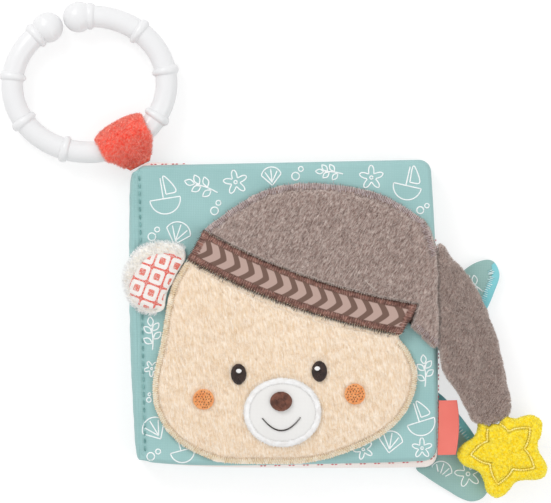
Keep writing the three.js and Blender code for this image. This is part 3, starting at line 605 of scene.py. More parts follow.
def plush(name, dark, colour, light, angle=90, across=0.8, along=3.0, sheen=0.4, height=0.5):
    """Knitted pile combed at an angle: streaks, dark at the root as painted shade and light at the tip,
    lighter where the tone paints light on the sides, with a soft sheen.

    The streaks are along by across millimetres, a few fibres wide, as single fibres wouldn't show.
    """
    material, tree, shader, place = start_material(name, 1.0, sheen, Specular_IOR_Level=0.1)
    tone = add_node(tree, "ShaderNodeAttribute", {"attribute_name": "tone"})
    combed = add_node(tree, "ShaderNodeMapping", {"vector_type": "TEXTURE"},
                      {"Vector": place, "Rotation": (0, 0, math.radians(angle)),
                       "Scale": (along * MM, across * MM, across * MM)})
    streak = add_node(tree, "ShaderNodeTexNoise", None,
                      {"Vector": combed.outputs["Vector"], "Scale": 1.0, "Detail": 3.0, "Distortion": 0.4})
    both = add_node(tree, "ShaderNodeMath", {"operation": "MULTIPLY_ADD"},
                    {0: streak.outputs["Fac"], 1: 0.8, 2: tone.outputs["Fac"]})
    ramp = add_node(tree, "ShaderNodeValToRGB", None, {"Fac": both.outputs[0]})
    ramp.color_ramp.elements[0].position = 0.6
    ramp.color_ramp.elements[0].color = linear(dark)
    ramp.color_ramp.elements[1].position = 1.0
    ramp.color_ramp.elements[1].color = linear(light)
    middle = ramp.color_ramp.elements.new(0.8)
    middle.color = linear(colour)
    tree.links.new(ramp.outputs["Color"], shader.inputs["Base Color"])
    bump = add_node(tree, "ShaderNodeBump", None,
                    {"Height": streak.outputs["Fac"], "Strength": 0.8, "Distance": height * MM})
    tree.links.new(bump.outputs["Normal"], shader.inputs["Normal"])
    return material


STITCH_TINT_SIZE = 2.381


def thread(name, colour, dark):
    """Twisted polyester thread: a slight gloss, with a tint that changes from stitch to stitch."""
    material, tree, shader, place = start_material(name, 0.55, 0.2, Specular_IOR_Level=0.4)
    cloud = add_node(tree, "ShaderNodeTexNoise", None,
                     {"Vector": place, "Scale": per_metre(STITCH_TINT_SIZE), "Detail": 2.0})
    ramp = add_node(tree, "ShaderNodeMapRange", None,
                    {"Value": cloud.outputs["Fac"], "From Min": 0.35, "From Max": 0.65})
    mix = add_node(tree, "ShaderNodeMix", {"data_type": "RGBA"},
                   {"Factor": ramp.outputs["Result"], "A": linear(dark), "B": linear(colour)})
    tree.links.new(mix.outputs["Result"], shader.inputs["Base Color"])
    return material


def wrapped(tree, value, pitch):
    """A coordinate wrapped to -0.5 to 0.5 of its pitch."""
    scaled = add_node(tree, "ShaderNodeMath", {"operation": "DIVIDE"}, {0: value, 1: pitch})
    part = add_node(tree, "ShaderNodeMath", {"operation": "FRACT"}, {0: scaled.outputs[0]})
    cell = add_node(tree, "ShaderNodeMath", {"operation": "SUBTRACT"}, {0: part.outputs[0], 1: 0.5})
    return cell.outputs[0]


ARROW_PITCH = 6.8
ARROW_REACH = 4.3


def arrow_band(name):
    """Woven webbing: pale arrows on dark brown, matt. The uv is in millimetres along and across the band."""
    material, tree, shader, place = start_material(name, 0.85, 0.15, Specular_IOR_Level=0.2)
    uv = add_node(tree, "ShaderNodeUVMap", {"uv_map": "cloth"})
    part = add_node(tree, "ShaderNodeSeparateXYZ", None, {0: uv.outputs["UV"]})
    away = add_node(tree, "ShaderNodeMath", {"operation": "ABSOLUTE"}, {0: part.outputs["Y"]})
    round_arrow = add_node(tree, "ShaderNodeMath", {"operation": "POWER"}, {0: away.outputs[0], 1: 1.3})
    slanted = add_node(tree, "ShaderNodeMath", {"operation": "MULTIPLY_ADD"},
                       {0: round_arrow.outputs[0], 1: 0.5, 2: part.outputs["X"]})
    cell = wrapped(tree, slanted.outputs[0], ARROW_PITCH)
    size = add_node(tree, "ShaderNodeMath", {"operation": "ABSOLUTE"}, {0: cell})
    pale = add_node(tree, "ShaderNodeMapRange", None,
                    {"Value": size.outputs[0], "From Min": 0.3, "From Max": 0.26})
    strip = add_node(tree, "ShaderNodeMapRange", None,
                     {"Value": away.outputs[0], "From Min": ARROW_REACH, "From Max": ARROW_REACH - 0.3})
    shown = add_node(tree, "ShaderNodeMath", {"operation": "MULTIPLY"},
                     {0: pale.outputs["Result"], 1: strip.outputs["Result"]})
    mix = add_node(tree, "ShaderNodeMix", {"data_type": "RGBA"},
                   {"Factor": shown.outputs[0], "A": linear("#735A50"), "B": linear("#B99E94")})
    tree.links.new(mix.outputs["Result"], shader.inputs["Base Color"])
    uneven_surface(tree, shader, place, size=0.667, strength=0.4)
    return material


CHECK_PITCHES = (("X", 6.7), ("Y", 7.4))


def check_patch(name):
    """Printed cotton: white rounded squares with coral centres on coral lines, from a uv in millimetres.

    A square's radius is the sixth root of the sum of the sixth powers of its two sides.
    """
    material, tree, shader, place = start_material(name, 0.9, 0.1, Specular_IOR_Level=0.15)
    uv = add_node(tree, "ShaderNodeUVMap", {"uv_map": "cloth"})
    part = add_node(tree, "ShaderNodeSeparateXYZ", None, {0: uv.outputs["UV"]})
    powers = []
    for axis, pitch in CHECK_PITCHES:
        cell = wrapped(tree, part.outputs[axis], pitch)
        size = add_node(tree, "ShaderNodeMath", {"operation": "ABSOLUTE"}, {0: cell})
        power = add_node(tree, "ShaderNodeMath", {"operation": "POWER"}, {0: size.outputs[0], 1: 6.0})
        powers.append(power.outputs[0])
    total = add_node(tree, "ShaderNodeMath", {"operation": "ADD"}, {0: powers[0], 1: powers[1]})
    radius = add_node(tree, "ShaderNodeMath", {"operation": "POWER"}, {0: total.outputs[0], 1: 1 / 6})
    ramp = add_node(tree, "ShaderNodeValToRGB", None, {"Fac": radius.outputs[0]})
    ramp.color_ramp.interpolation = "CONSTANT"
    ramp.color_ramp.elements[0].color = linear("#E27A6C")
    ramp.color_ramp.elements[1].position = 0.2
    ramp.color_ramp.elements[1].color = linear("#F3EFEC")
    outer = ramp.color_ramp.elements.new(0.44)
    outer.color = linear("#E2695C")
    tree.links.new(ramp.outputs["Color"], shader.inputs["Base Color"])
    uneven_surface(tree, shader, place, size=0.833, strength=0.25)
    return material


DOT_PITCH = 4.2


def dotted(name):
    """Printed lining cotton, matt white, with a small red dot at every pitch."""
    material, tree, shader, place = start_material(name, 0.9, 0.1, Specular_IOR_Level=0.15)
    part = add_node(tree, "ShaderNodeSeparateXYZ", None, {0: place})
    squares = []
    for axis in "XY":
        cell = wrapped(tree, part.outputs[axis], DOT_PITCH * MM)
        square = add_node(tree, "ShaderNodeMath", {"operation": "MULTIPLY"}, {0: cell, 1: cell})
        squares.append(square.outputs[0])
    total = add_node(tree, "ShaderNodeMath", {"operation": "ADD"}, {0: squares[0], 1: squares[1]})
    inside = add_node(tree, "ShaderNodeMath", {"operation": "LESS_THAN"}, {0: total.outputs[0], 1: 0.045})
    mix = add_node(tree, "ShaderNodeMix", {"data_type": "RGBA"},
                   {"Factor": inside.outputs[0], "A": linear("#F4EFEA"), "B": linear("#D9636B")})
    tree.links.new(mix.outputs["Result"], shader.inputs["Base Color"])
    uneven_surface(tree, shader, place, size=0.833, strength=0.3)
    return material


def moulded(name, colour):
    """Injection-moulded polypropylene: smooth, softly glossy, with faint flow unevenness."""
    material, tree, shader, place = start_material(name, 0.28, 0.0, Subsurface_Weight=0.15, IOR=1.49)
    shader.inputs["Base Color"].default_value = linear(colour)
    shader.inputs["Subsurface Radius"].default_value = (0.003, 0.003, 0.003)
    uneven_surface(tree, shader, place, size=11.1, strength=0.08, depth=0.3)
    return material


TEAL = cotton("teal_cotton", "#A4C9C8", "#8DB6B5")
# The fins' cotton: a greener teal, and darker than the cover's as painted shade.
TEAL_FIN_SHADED = cotton("teal_cotton_shaded", "#A1C3BE", "#8AAEAA")
PAGE = cotton("page_cotton", "#FCF5F1", "#F3E6E0")
SKY = cotton("page_turquoise", "#9FD8D6", "#86C4C4")
LINING = dotted("dotted_lining")
EDGING = cotton("turquoise_cotton", "#8FD5DC", "#78C4CD", 0.6)
CREAM = plush("cream_plush", "#E6C9A2", "#F3DFC6", "#FFF3E4", 97, 0.7, 3.2)
FUR = plush("white_fur", "#FFF1E2", "#FFFAF0", "#FFFFFF", 140, 0.7, 2.4)
BROWN = plush("grey_brown_plush", "#6F5A52", "#A8928A", "#D6C7BF", 58, 0.6, 2.0, 0.4, 0.8)
YELLOW = plush("yellow_terry", "#FFDB18", "#FFE834", "#FFF26A", 0, 1.1, 1.3, 0.0, 0.15)
# The tail's plush is a lighter copy of the grey-brown one: painted light where the tail tilts away from the
# lamps.
TAIL_BROWN_LIT = plush("grey_brown_tail_lit", "#735F56", "#AC958C", "#D3C3BB", 58, 0.6, 2.0, 0.4, 0.8)
CORAL = plush("coral_plush", "#FF4C3C", "#FF6E5A", "#FFA494", 60, 0.8, 1.6, 0.0)
WADDING = plush("wadding", "#E6E3DC", "#F4F2EE", "#FFFFFF", 0, 3, 3)
MUZZLE = cotton("muzzle_jersey", "#EFEEEC", "#E2E0DD", 0.6)
BAND = arrow_band("arrow_webbing")
PATCH = check_patch("check_cotton")
BROWN_THREAD = thread("brown_thread", "#A07A6D", "#6A4A3F")
RUSSET_THREAD = thread("russet_thread", "#A67566", "#6C443A")
BARK_THREAD = thread("bark_thread", "#6E5046", "#452F27")
PALE_BROWN_THREAD = thread("pale_brown_thread", "#DACDCF", "#A39294")
ROSE_BROWN_THREAD = thread("rose_brown_thread", "#C9A196", "#8C6458")
NOSE_THREAD = thread("nose_thread", "#84523F", "#583225")
DARK_THREAD = thread("dark_thread", "#402D26", "#211613")
WHITE_THREAD = thread("white_thread", "#FFFFFF", "#F2F2F1")
JERSEY_THREAD = thread("jersey_thread", "#FFFFFF", "#F4F2F0")
# Tan thread: the face's inner row of stitches, and a zigzag that paints the shade of the cream zigzag.
TAN_THREAD_AND_SHADE = thread("tan_thread_and_shade", "#EBD3AE", "#CDA878")
CREAM_THREAD = thread("cream_thread", "#FFF8E6", "#F6E4C2")
ORANGE_THREAD = thread("orange_thread", "#FFBC7C", "#F4A05C")
# Cheek specks: dark brown painted shade where the orange stitches part.
CHEEK_GAP_SHADE = thread("cheek_gap_shade", "#9A5A30", "#7A4420")
YELLOW_THREAD = thread("yellow_thread", "#FFF59A", "#FFE14A")
RED_THREAD = thread("red_thread", "#E26B72", "#D24E58")
TEAL_THREAD = thread("teal_thread", "#8FBFBD", "#5F9492")
TURQUOISE_THREAD = thread("pale_turquoise_thread", "#E6F6F6", "#A6DBE0")
PRINT = thread("white_print", "#FAFCFC", "#EAF3F3")
RIBBON = cotton("coral_ribbon", "#F2867A", "#E26C61", 0.4)
PLASTIC = moulded("white_polypropylene", "#E9E9EA")
FOIL = moulded("crinkle_foil", "#D8DADC")


def finish_piece(obj, material, body, replaces=()):
    """Gives a piece its material, its body and what it stands for."""
    obj.data.materials.clear()
    obj.data.materials.append(material)
    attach(obj, body)
    if replaces:
        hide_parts(*replaces)
    return obj


# Covers and leaf.
SPINE_STITCH_X = -62.6
SPINE_STITCH_LENGTH, SPINE_STITCH_PITCH = 2.3, 3.4
SPINE_STITCH_START, SPINE_STITCH_END = -60.5, 61
GROOVE_DEPTH, GROOVE_WIDTH = 0.9, 1.1
BROAD_WRINKLE, FINE_WRINKLE, FINE_SHARE = 26, 9, 0.35
TIGHT_ROLL, SOFT_ROLL, ROLL_FROM, ROLL_OVER = 0.7, 2.8, 1.0, 5.0
SAG, SAG_MIDDLE, SAG_REACH = 2.5, 12.0, 74.0
LEAF_STAND, LEAF_STAND_LEFT, LEAF_STAND_RIGHT = 1.3, -63, -38


def cloth_wrinkles(seed, amount=0.12):
    """Broad wrinkles with finer ones of a third of their height between them."""
    def rise(xy):
        """The height of the wrinkles at each place."""
        fine = waves(xy, FINE_WRINKLE, seed + 1)
        return amount * (waves(xy, BROAD_WRINKLE, seed) + FINE_SHARE * fine)
    return rise


def front_grain(xy):
    """Wrinkles, and the groove that the sewn line beside the spine pulls into the cloth."""
    away = (xy[..., 0] - SPINE_STITCH_X) / GROOVE_WIDTH
    return cloth_wrinkles(5)(xy) - GROOVE_DEPTH * np.exp(-away ** 2)


def edge_roll(xy):
    """How far in the cloth rolls over the wadding: tight beside the spine, soft elsewhere."""
    from_spine = xy[..., 0] + COVER_WIDTH / 2
    return TIGHT_ROLL + (SOFT_ROLL - TIGHT_ROLL) * np.clip((from_spine - ROLL_FROM) / ROLL_OVER, 0, 1)


def panel_pad(node, outline, grain=None):
    """A pad as thick as the node's box, with a quarter-circle roll at its rim."""
    low, high = box(node)
    return Pad(outline, (0, 0), low[2], SEAM, high[2] - low[2] - SEAM, roll=edge_roll, grain=grain)


def bottom_sag(line):
    """The cloth of the lower edge bellies down between its corners."""
    low = np.clip(-2 * line[:, 1] / COVER_HEIGHT, 0, 1) ** 6
    line[:, 1] -= SAG * low * (1 - np.clip(np.abs(line[:, 0] - SAG_MIDDLE) / SAG_REACH, 0, 1) ** 4)
    return line


def leaf_outline():
    """The cover's outline, dropped below, that stands out a little at the top near the spine."""
    line = bottom_sag(panel_outline(0, LEAF_DROP))
    x = line[:, 0]
    stand = np.clip((LEAF_STAND_RIGHT - x) / 15, 0, 1) * np.clip((x - LEAF_STAND_LEFT) / 5, 0, 1)
    line[:, 1] += LEAF_STAND * np.clip(line[:, 1] / COVER_HEIGHT * 2, 0, 1) ** 8 * stand
    return line


FRONT = panel_pad("front_cover_cloth", bottom_sag(panel_outline()), front_grain)
LEAF = panel_pad("leaf_front_cloth", leaf_outline(), cloth_wrinkles(15, 0.07))


PANELS = (
    ("front_cover_inside", "front_cover_lining", "front_cover", "lining_cotton", LINING, FRONT, True),
    ("back_cover_skin", "back_cover_cloth", "back_cover", "teal_cotton", TEAL, FRONT, True),
    ("back_cover_inside", "back_cover_lining", "back_cover", "lining_cotton", LINING, FRONT, False),
    ("leaf_front_page", "leaf_front_cloth", "leaf", "lining_cotton", PAGE, LEAF, False),
    ("leaf_back_page", "leaf_back_cloth", "leaf", "lining_cotton", SKY, LEAF, True))


def add_panels():
    """The front cover's cloth, then the plainer panels; those that face down are mirrored in their box."""
    p = FRONT.rings(640, 110, under=4)
    finish_piece(ring_mesh("front_cover_skin", p), TEAL, "front_cover",
                 ["front_cover_cloth"])
    for name, node, body, slot, material, like, down in PANELS:
        p = panel_pad(node, like.outline, cloth_wrinkles(len(name), 0.07)).rings(400, 60, under=4)
        if down:
            low, high = box(node)
            p[..., 2] = low[2] + high[2] - p[..., 2]
            p = p[:, ::-1]
        finish_piece(ring_mesh(name, p), material, body, [node])


# The spine's cloth: half its length, where its middle lies, and how its ends round in to the covers.
SPINE_HALF = 63.3
SPINE_SHIFT = -0.9
SPINE_ROUNDED = 7.0
SPINE_BOW = 1.6
SPINE_LEAST = 0.4
SPINE_CLOTH = 0.9


def spine_end(v):
    """0 along the spine, rising to 1 over the rounded stretch at each end."""
    return np.clip((np.abs(v) * SPINE_HALF - (SPINE_HALF - SPINE_ROUNDED)) / SPINE_ROUNDED, 0, 1)


def spine_stand(v, most):
    """How far the cloth stands out: most less a parabola, closed by a quarter circle at each end."""
    return SPINE_LEAST + (most - SPINE_BOW * v ** 2 - SPINE_LEAST) * np.sqrt(1 - spine_end(v) ** 2)


def add_spine():
    """Two strips over a quarter of a squared-off oval that roll in to the covers' edges."""
    for name, node, a, b, up in (("spine_lower", "spine_cloth_lower", "back_cover", "leaf", False),
                                 ("spine_upper", "spine_cloth_upper", "leaf", "front_cover", True)):
        low, high = box(node)
        u, v = np.meshgrid(np.linspace(0, TAU / 4, 40), np.linspace(-1, 1, 200))
        y = v * SPINE_HALF + SPINE_SHIFT
        pucker = 0.1 * waves(np.stack([y, 3 * u], -1), 7, 31)
        stand = spine_stand(v, high[0] - low[0] - 0.1 + pucker)
        tall = high[2] - low[2]
        rows = []
        for inset in (0.0, SPINE_CLOTH):
            x = high[0] - (stand - inset) * np.cos(u) ** 0.7
            rise = (tall - inset) * np.sin(u)
            rows.append(np.stack([x, y, low[2] + rise if up else high[2] - rise], -1))
        if not up:
            rows = rows[::-1]
        obj = ring_mesh(name, sheet(*rows))
        obj.data.materials.append(TEAL)
        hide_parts(node)
        x = float(low[0]) * MM
        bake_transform(obj)


# Where the page's red dashes run: down the fore-edge, along the bottom, and a stretch at the top.
DASH_EDGE, DASH_FORE_TOP, DASH_BOTTOM_LEFT, DASH_TOP_LEFT, DASH_TOP_RIGHT = 60, 30, -14, -57, -41


def add_page_stitches():
    """Some of the steps round the page's edge, each as one dash."""
    count = 330
    line = resample(bottom_sag(panel_outline(0.4)), count)
    x, y = line[:, 0], line[:, 1]
    long_dash, short_dash = np.arange(count) % 3 != 0, np.arange(count) % 4 < 2
    fore_edge = (x > 0) & (y > -DASH_EDGE) & (y < DASH_FORE_TOP)
    bottom = (y < -DASH_EDGE) & (x > DASH_BOTTOM_LEFT)
    top_left = (y > DASH_EDGE) & (x > DASH_TOP_LEFT) & (x < DASH_TOP_RIGHT)
    sewn = (fore_edge | top_left) & long_dash | bottom & short_dash
    a, b = line[sewn], np.roll(line, -1, 0)[sewn]
    p = sew(LEAF, a + (b - a) * 0.1, b - (b - a) * 0.1, 0.1, 0.0, 3)
    p[..., 2] = np.maximum(p[..., 2], box("leaf_front_cloth")[1][2] - 0.6)
    finish_piece(threads("page_edge_dashes", p, 0.3), RED_THREAD, "leaf")


# The fold: where it starts, how far it reaches, how its ends turn out at the corners, and its bulge.
FOLD_START_SHARE, FOLD_REACH, FOLD_CORNER_REACH = 0.35, 1.4, 2.2
FOLD_LOW_TURN, FOLD_HIGH_TURN = -0.8, 2.4
FOLD_BULGE, FOLD_CLOTH = 0.18, 0.35


def add_spine_fold():
    """The spine's cloth where it runs on over the joint to the groove: an S-curve with a low bulge."""
    low, high = box("spine_cloth_upper")
    v, t = np.meshgrid(np.linspace(-1, 1, 200), np.linspace(0, 1, 14), indexing="ij")
    end = spine_end(v)
    y = v * SPINE_HALF + SPINE_SHIFT + np.where(v < 0, FOLD_LOW_TURN, FOLD_HIGH_TURN) * end * t ** 1.5
    left = high[0] - FOLD_START_SHARE * spine_stand(v, high[0] - low[0] - 0.1)
    right = high[0] + FOLD_REACH + FOLD_CORNER_REACH * end ** 2
    x = left + (right - left) * t
    z_left = high[2] - 0.25
    z_right = FRONT.top(np.stack([right, y], -1)) - 0.1
    z = z_left + (z_right - z_left) * t * t * (3 - 2 * t) + FOLD_BULGE * np.sin(math.pi * t) ** 0.5
    over = np.stack([x, y, z], -1)
    obj = ring_mesh("spine_fold", sheet(over, over - [0, 0, FOLD_CLOTH]))
    finish_piece(obj, TEAL, "front_cover")


def add_spine_stitches():
    """One running stitch after the other in the groove beside the spine."""
    y = np.arange(SPINE_STITCH_START, SPINE_STITCH_END, SPINE_STITCH_PITCH)
    start = np.stack([np.full(len(y), SPINE_STITCH_X), y], 1)
    end = start + [0.0, SPINE_STITCH_LENGTH]
    obj = threads("spine_stitches", sew(FRONT, start, end, 0.1, 0.3), 0.3)
    finish_piece(obj, TEAL_THREAD, "front_cover")


# Print motifs: sea shells, boats, sea stars, sprigs and pebbles, drawn in a unit square.
def circle_line(radius, centre=(0, 0), start=0.0, end=TAU, count=26):
    """Part of a circle from a start to an end angle."""
    a = np.linspace(start, end, count)
    return np.stack([centre[0] + radius * np.cos(a), centre[1] + radius * np.sin(a)], 1)


def shell_motif():
    """A fan: most of a half circle, closed at its foot, with three ribs."""
    fan = circle_line(0.5, (0, -0.1), 0.25, TAU / 2 - 0.25)
    foot = np.array([0.0, -0.5])
    ribs = [np.stack([foot * 0.7, 0.42 * np.array([math.cos(a), math.sin(a)]) + [0, -0.1]])
            for a in np.linspace(0.75, TAU / 2 - 0.75, 3)]
    return [np.vstack([foot, fan, foot])] + [resample(rib, 5, False) for rib in ribs]


def boat_motif():
    """A half circle for the hull, a mast and a curved sail."""
    hull = np.vstack([circle_line(0.45, (0, -0.12), TAU / 2, TAU), [[-0.45, -0.12]]])
    sail = catmull([(0.05, 0.0), (0.05, 0.55), (0.36, 0.05), (0.05, 0.0)], False, 6)
    return [hull, sail, resample(np.array([[-0.05, -0.1], [-0.05, 0.5]]), 4, False)]


def sea_star_motif():
    """A radius that waves five times in a turn, with a small circle inside."""
    a = np.linspace(0, TAU, 61)
    r = 0.34 + 0.16 * np.cos(5 * a)
    return [np.stack([r * np.sin(a), r * np.cos(a)], 1), circle_line(0.07)]


def sprig_motif():
    """A bowed stem with pointed leaves in pairs and one at its end."""
    t = np.linspace(-0.5, 0.22, 12)
    stem = np.stack([0.25 * (t + 0.5) * (0.5 - t), t], 1)
    along = np.linspace(0, 1, 9)
    half = np.stack([0.09 * np.sin(along * math.pi), 0.32 * along], 1)
    leaf = np.vstack([half, half[::-1] * [-1, 1]])
    leaves = []
    for turn, row in ((0.95, 3), (-0.95, 5), (0.8, 8), (-0.8, 9), (0.0, 11)):
        rotation = turned(turn)
        leaves.append(leaf @ rotation.T + stem[row] + rotation @ [0, 0.03])
    return [stem] + leaves


def pebble_motif():
    """A large and a small circle."""
    return [circle_line(0.26, (-0.2, -0.12), count=18), circle_line(0.17, (0.3, 0.2), count=14)]


MOTIFS = {"shell": shell_motif, "boat": boat_motif, "star": sea_star_motif, "sprig": sprig_motif,
          "pebbles": pebble_motif}
MOTIF_SCALE = 1.2

# Each motif with the share of the cover where its middle lies, its turn in degrees and its size.
FRONT_PRINT = (
    ("boat", -0.4, 0.4, 8, 12.5), ("sprig", -0.272, 0.42, 72, 12), ("shell", -0.355, 0.272, -20, 9.5),
    ("pebbles", -0.438, 0.268, 20, 5.5), ("star", -0.157, 0.437, 10, 9), ("pebbles", -0.225, 0.352, 30, 5.5),
    ("shell", -0.035, 0.458, 5, 7.5), ("pebbles", 0.055, 0.462, 20, 5.5), ("sprig", 0.165, 0.46, 86, 9.5),
    ("star", 0.305, 0.443, 0, 9), ("boat", 0.43, 0.425, -14, 11.5), ("pebbles", 0.478, 0.335, 0, 5),
    ("sprig", -0.457, -0.07, 6, 11.5), ("star", -0.455, -0.185, 30, 6), ("shell", -0.452, -0.385, 30, 9.5),
    ("pebbles", -0.466, -0.283, 50, 3.4), ("boat", -0.36, -0.452, 14, 10),
    ("pebbles", -0.455, -0.475, 0, 5.5), ("star", 0.258, -0.472, 20, 7.5),
    ("shell", 0.352, -0.445, -10, 9), ("boat", 0.452, -0.37, 16, 11.5), ("sprig", 0.468, -0.215, 5, 11),
    ("star", 0.458, -0.472, 0, 7.5))


def motif_lines(rows):
    """The motifs' lines turned, scaled and set at their places."""
    lines = []
    for kind, x, y, turn, size in rows:
        rotation = turned(math.radians(turn)).T
        lines += [line @ rotation * size * MOTIF_SCALE + of_cover((x, y)) for line in MOTIFS[kind]()]
    return lines


def inside_edge(pad, p):
    """How far points lie inside a pad's outline, towards its centre."""
    xy = p[..., :2]
    return (1 - pad.share(xy)) * pad.reach_at(xy)


PRINT_STEP = 0.5
PRINT_WIDTH, FIN_PRINT_WIDTH, DESIGN_WIDTH = 0.56, 0.5, 1.0


def inside_only(lines, outline, margin):
    """Lines cut where they would come nearer to the outline than the margin."""
    pad = Pad(outline, outline.mean(0), 0, 0, 0)
    kept = []
    for line in lines:
        fine = resample(line, max(8, int(np.sum(steps_of(line)) / PRINT_STEP)), False)
        ok = inside_edge(pad, fine) > margin
        cuts = np.flatnonzero(np.diff(ok.astype(int))) + 1
        parts = zip(np.split(fine, cuts), np.split(ok, cuts))
        kept += [part for part, good in parts if good.all() and len(part) > 2]
    return kept


def add_print():
    """The front cover's print, up to a quarter of a millimetre from the seam."""
    lines = inside_only(motif_lines(FRONT_PRINT), FRONT.outline, 0.25)
    obj = ribbons("front_cover_print", lines, FRONT, PRINT_WIDTH)
    finish_piece(obj, PRINT, "front_cover")


PAGE_DESIGN = (("boat", 0.0, 0.02, 0, 44), ("shell", -0.29, -0.29, -15, 18), ("star", 0.28, 0.29, 10, 20),
               ("sprig", 0.31, -0.22, 12, 30), ("pebbles", -0.3, 0.27, 20, 16))


class Underside:
    """A pad's shape turned to face down inside the same levels."""

    def __init__(self, node, outline):
        """Keeps the pad and the sum of the node's two levels, round which it is turned over."""
        low, high = box(node)
        self.pad = panel_pad(node, outline)
        self.levels = low[2] + high[2]

    def on_top(self, xy, above=0.0):
        """The places set on the surface that faces down: the levels less the pad's own height."""
        p = self.pad.on_top(xy, above + 0.1)
        p[..., 2] = self.levels - p[..., 2]
        return p


def add_page_designs():
    """A simple picture on each side of the leaf, drawn in lines like the cover's print."""
    lines = inside_only(motif_lines(PAGE_DESIGN), LEAF.outline, 4)
    obj = ribbons("leaf_front_design", lines, LEAF, DESIGN_WIDTH)
    finish_piece(obj, TEAL_THREAD, "leaf")
    lines = [line[::-1] * [0.95, 1] for line in lines]
    under = Underside("leaf_back_cloth", LEAF.outline)
    obj = ribbons("leaf_back_design", lines, under, DESIGN_WIDTH)
    finish_piece(obj, WHITE_THREAD, "leaf")


# Face, cap and their trims.
def band_edge(offset):
    """A line beside the band's middle, from right to left."""
    return band_point(np.linspace(1, 0, 120), offset)


LET_OUT, LET_OUT_Y, LET_OUT_REACH = 0.9, 14, 6.5


def face_edge():
    """The face's free edge, let out by a bell curve beside the ear and sagging at the bottom."""
    line = catmull(of_cover(FACE_EDGE_SHARES), False)
    beside_ear = np.exp(-((line[:, 1] - LET_OUT_Y) / LET_OUT_REACH) ** 2) * (line[:, 0] < -35)
    return bottom_sag(offset_line(line, -LET_OUT * beside_ear, False))


def face_outline():
    """The free edge, closed along the band's lower edge."""
    return np.vstack([face_edge(), band_edge(-BAND_WIDTH / 2 - GAP)[1:-1]])


def crown_outline():
    """The free edge, closed along the band's middle, which covers it."""
    arc = catmull(of_cover(CROWN_EDGE_SHARES), False)
    return np.vstack([arc, band_edge(0)[::-1][1:-1]])


def pad_of(node, outline, centre, seam, **more):
    """A pad as thick as the node's box."""
    low, high = box(node)
    return Pad(outline, of_cover(centre), low[2], seam, high[2] - low[2] - seam, **more)


PLUSH_SEAM = 1.2
WALL_REACH, WALL_OVER = 8, 9
TUFT_SIZE, TUFT_RISE, SWELL_SIZE = 1.7, 0.1, 7
PRESSED_DEPTH, PRESSED_WIDTH = 0.35, 0.7


def crown_wall(xy):
    """0 over the cover, rising to 1 at the fore-edge, where the crown stands up against the tail."""
    return np.clip((xy[..., 0] - COVER_WIDTH / 2 + WALL_REACH) / WALL_OVER, 0, 1)


FACE = pad_of("face_plush", face_outline(), FACE_CENTRE_SHARE, PLUSH_SEAM)
CROWN = pad_of("cap_crown", crown_outline(), CROWN_CENTRE_SHARE, PLUSH_SEAM, wall=crown_wall)


def fluff(seed, broad, pad=None, border=0.0):
    """Tufts and gentle swells; on a pad with a border, a pressed line where the border ends."""
    def detail(p):
        """How far each point moves along its normal."""
        rise = waves(p, TUFT_SIZE, seed, 24) * TUFT_RISE + waves(p, SWELL_SIZE, seed + 1) * broad
        if pad is not None:
            rise -= PRESSED_DEPTH * np.exp(-((inside_edge(pad, p) - border) / PRESSED_WIDTH) ** 2)
        return rise[..., None]
    return detail


def add_face():
    """The plush with its pile, a cream zigzag over its free edge with a sparser tan zigzag as its painted
    shade, and a row of stitches inside them.
    """
    p = FACE.rings(560, 120, under=4, detail=fluff(41, 0.22, FACE, 2.3))
    bare = lambda foot: inside_edge(FACE, foot) < 1.8
    obj = furry("face_fur", p, 42, bare)
    finish_piece(obj, CREAM, "front_cover", ["face_plush"])
    lower = face_edge()
    # The tan zigzag beside the cream one is painted shade.
    for name, pitch, inner, outer, radius, seed, material in (
            ("face_zigzag", 0.95, 2.4, -0.2, 0.17, 43, CREAM_THREAD),
            ("face_shaded_zigzag", 1.35, 2.3, -0.3, 0.12, 44, TAN_THREAD_AND_SHADE)):
        obj = edge_stitches(name, FACE, lower, inner, outer, pitch, radius, seed, 0.2, zigzag=True,
                            uneven=0.13)
        finish_piece(obj, material, "front_cover")
    inner = resample(offset_line(lower, 2.7, False), 420, False)
    obj = threads("face_inner_stitches", sew(FACE, inner[:-1:2], inner[1::2], 0.25, 0.15, 4), 0.14)
    finish_piece(obj, TAN_THREAD_AND_SHADE, "front_cover")


# How high each patch stands; the eyes and their glints stand 1 mm.
PATCH_RISES = {"muzzle_patch": 1.5, "nose": 1.3, "cheek_left": 0.8, "cheek_right": 0.8, "ear_patch": 0.7}


def patch_pad(node, outline, centre, carrier, grain=None):
    """A low pad whose underside follows the pad that carries it."""
    rise = PATCH_RISES.get(node, 1.0)
    return Pad(outline, centre, GAP, rise * 0.35, rise * 0.65, lift=carrier.top, grain=grain)


def oval_patch(node, carrier, count=120, grain=None):
    """A low oval pad in the node's box."""
    low, high = box(node)
    centre = (low[:2] + high[:2]) / 2
    outline = ellipse(centre, high[0] - low[0], high[1] - low[1], count)
    return patch_pad(node, outline, centre, carrier, grain)


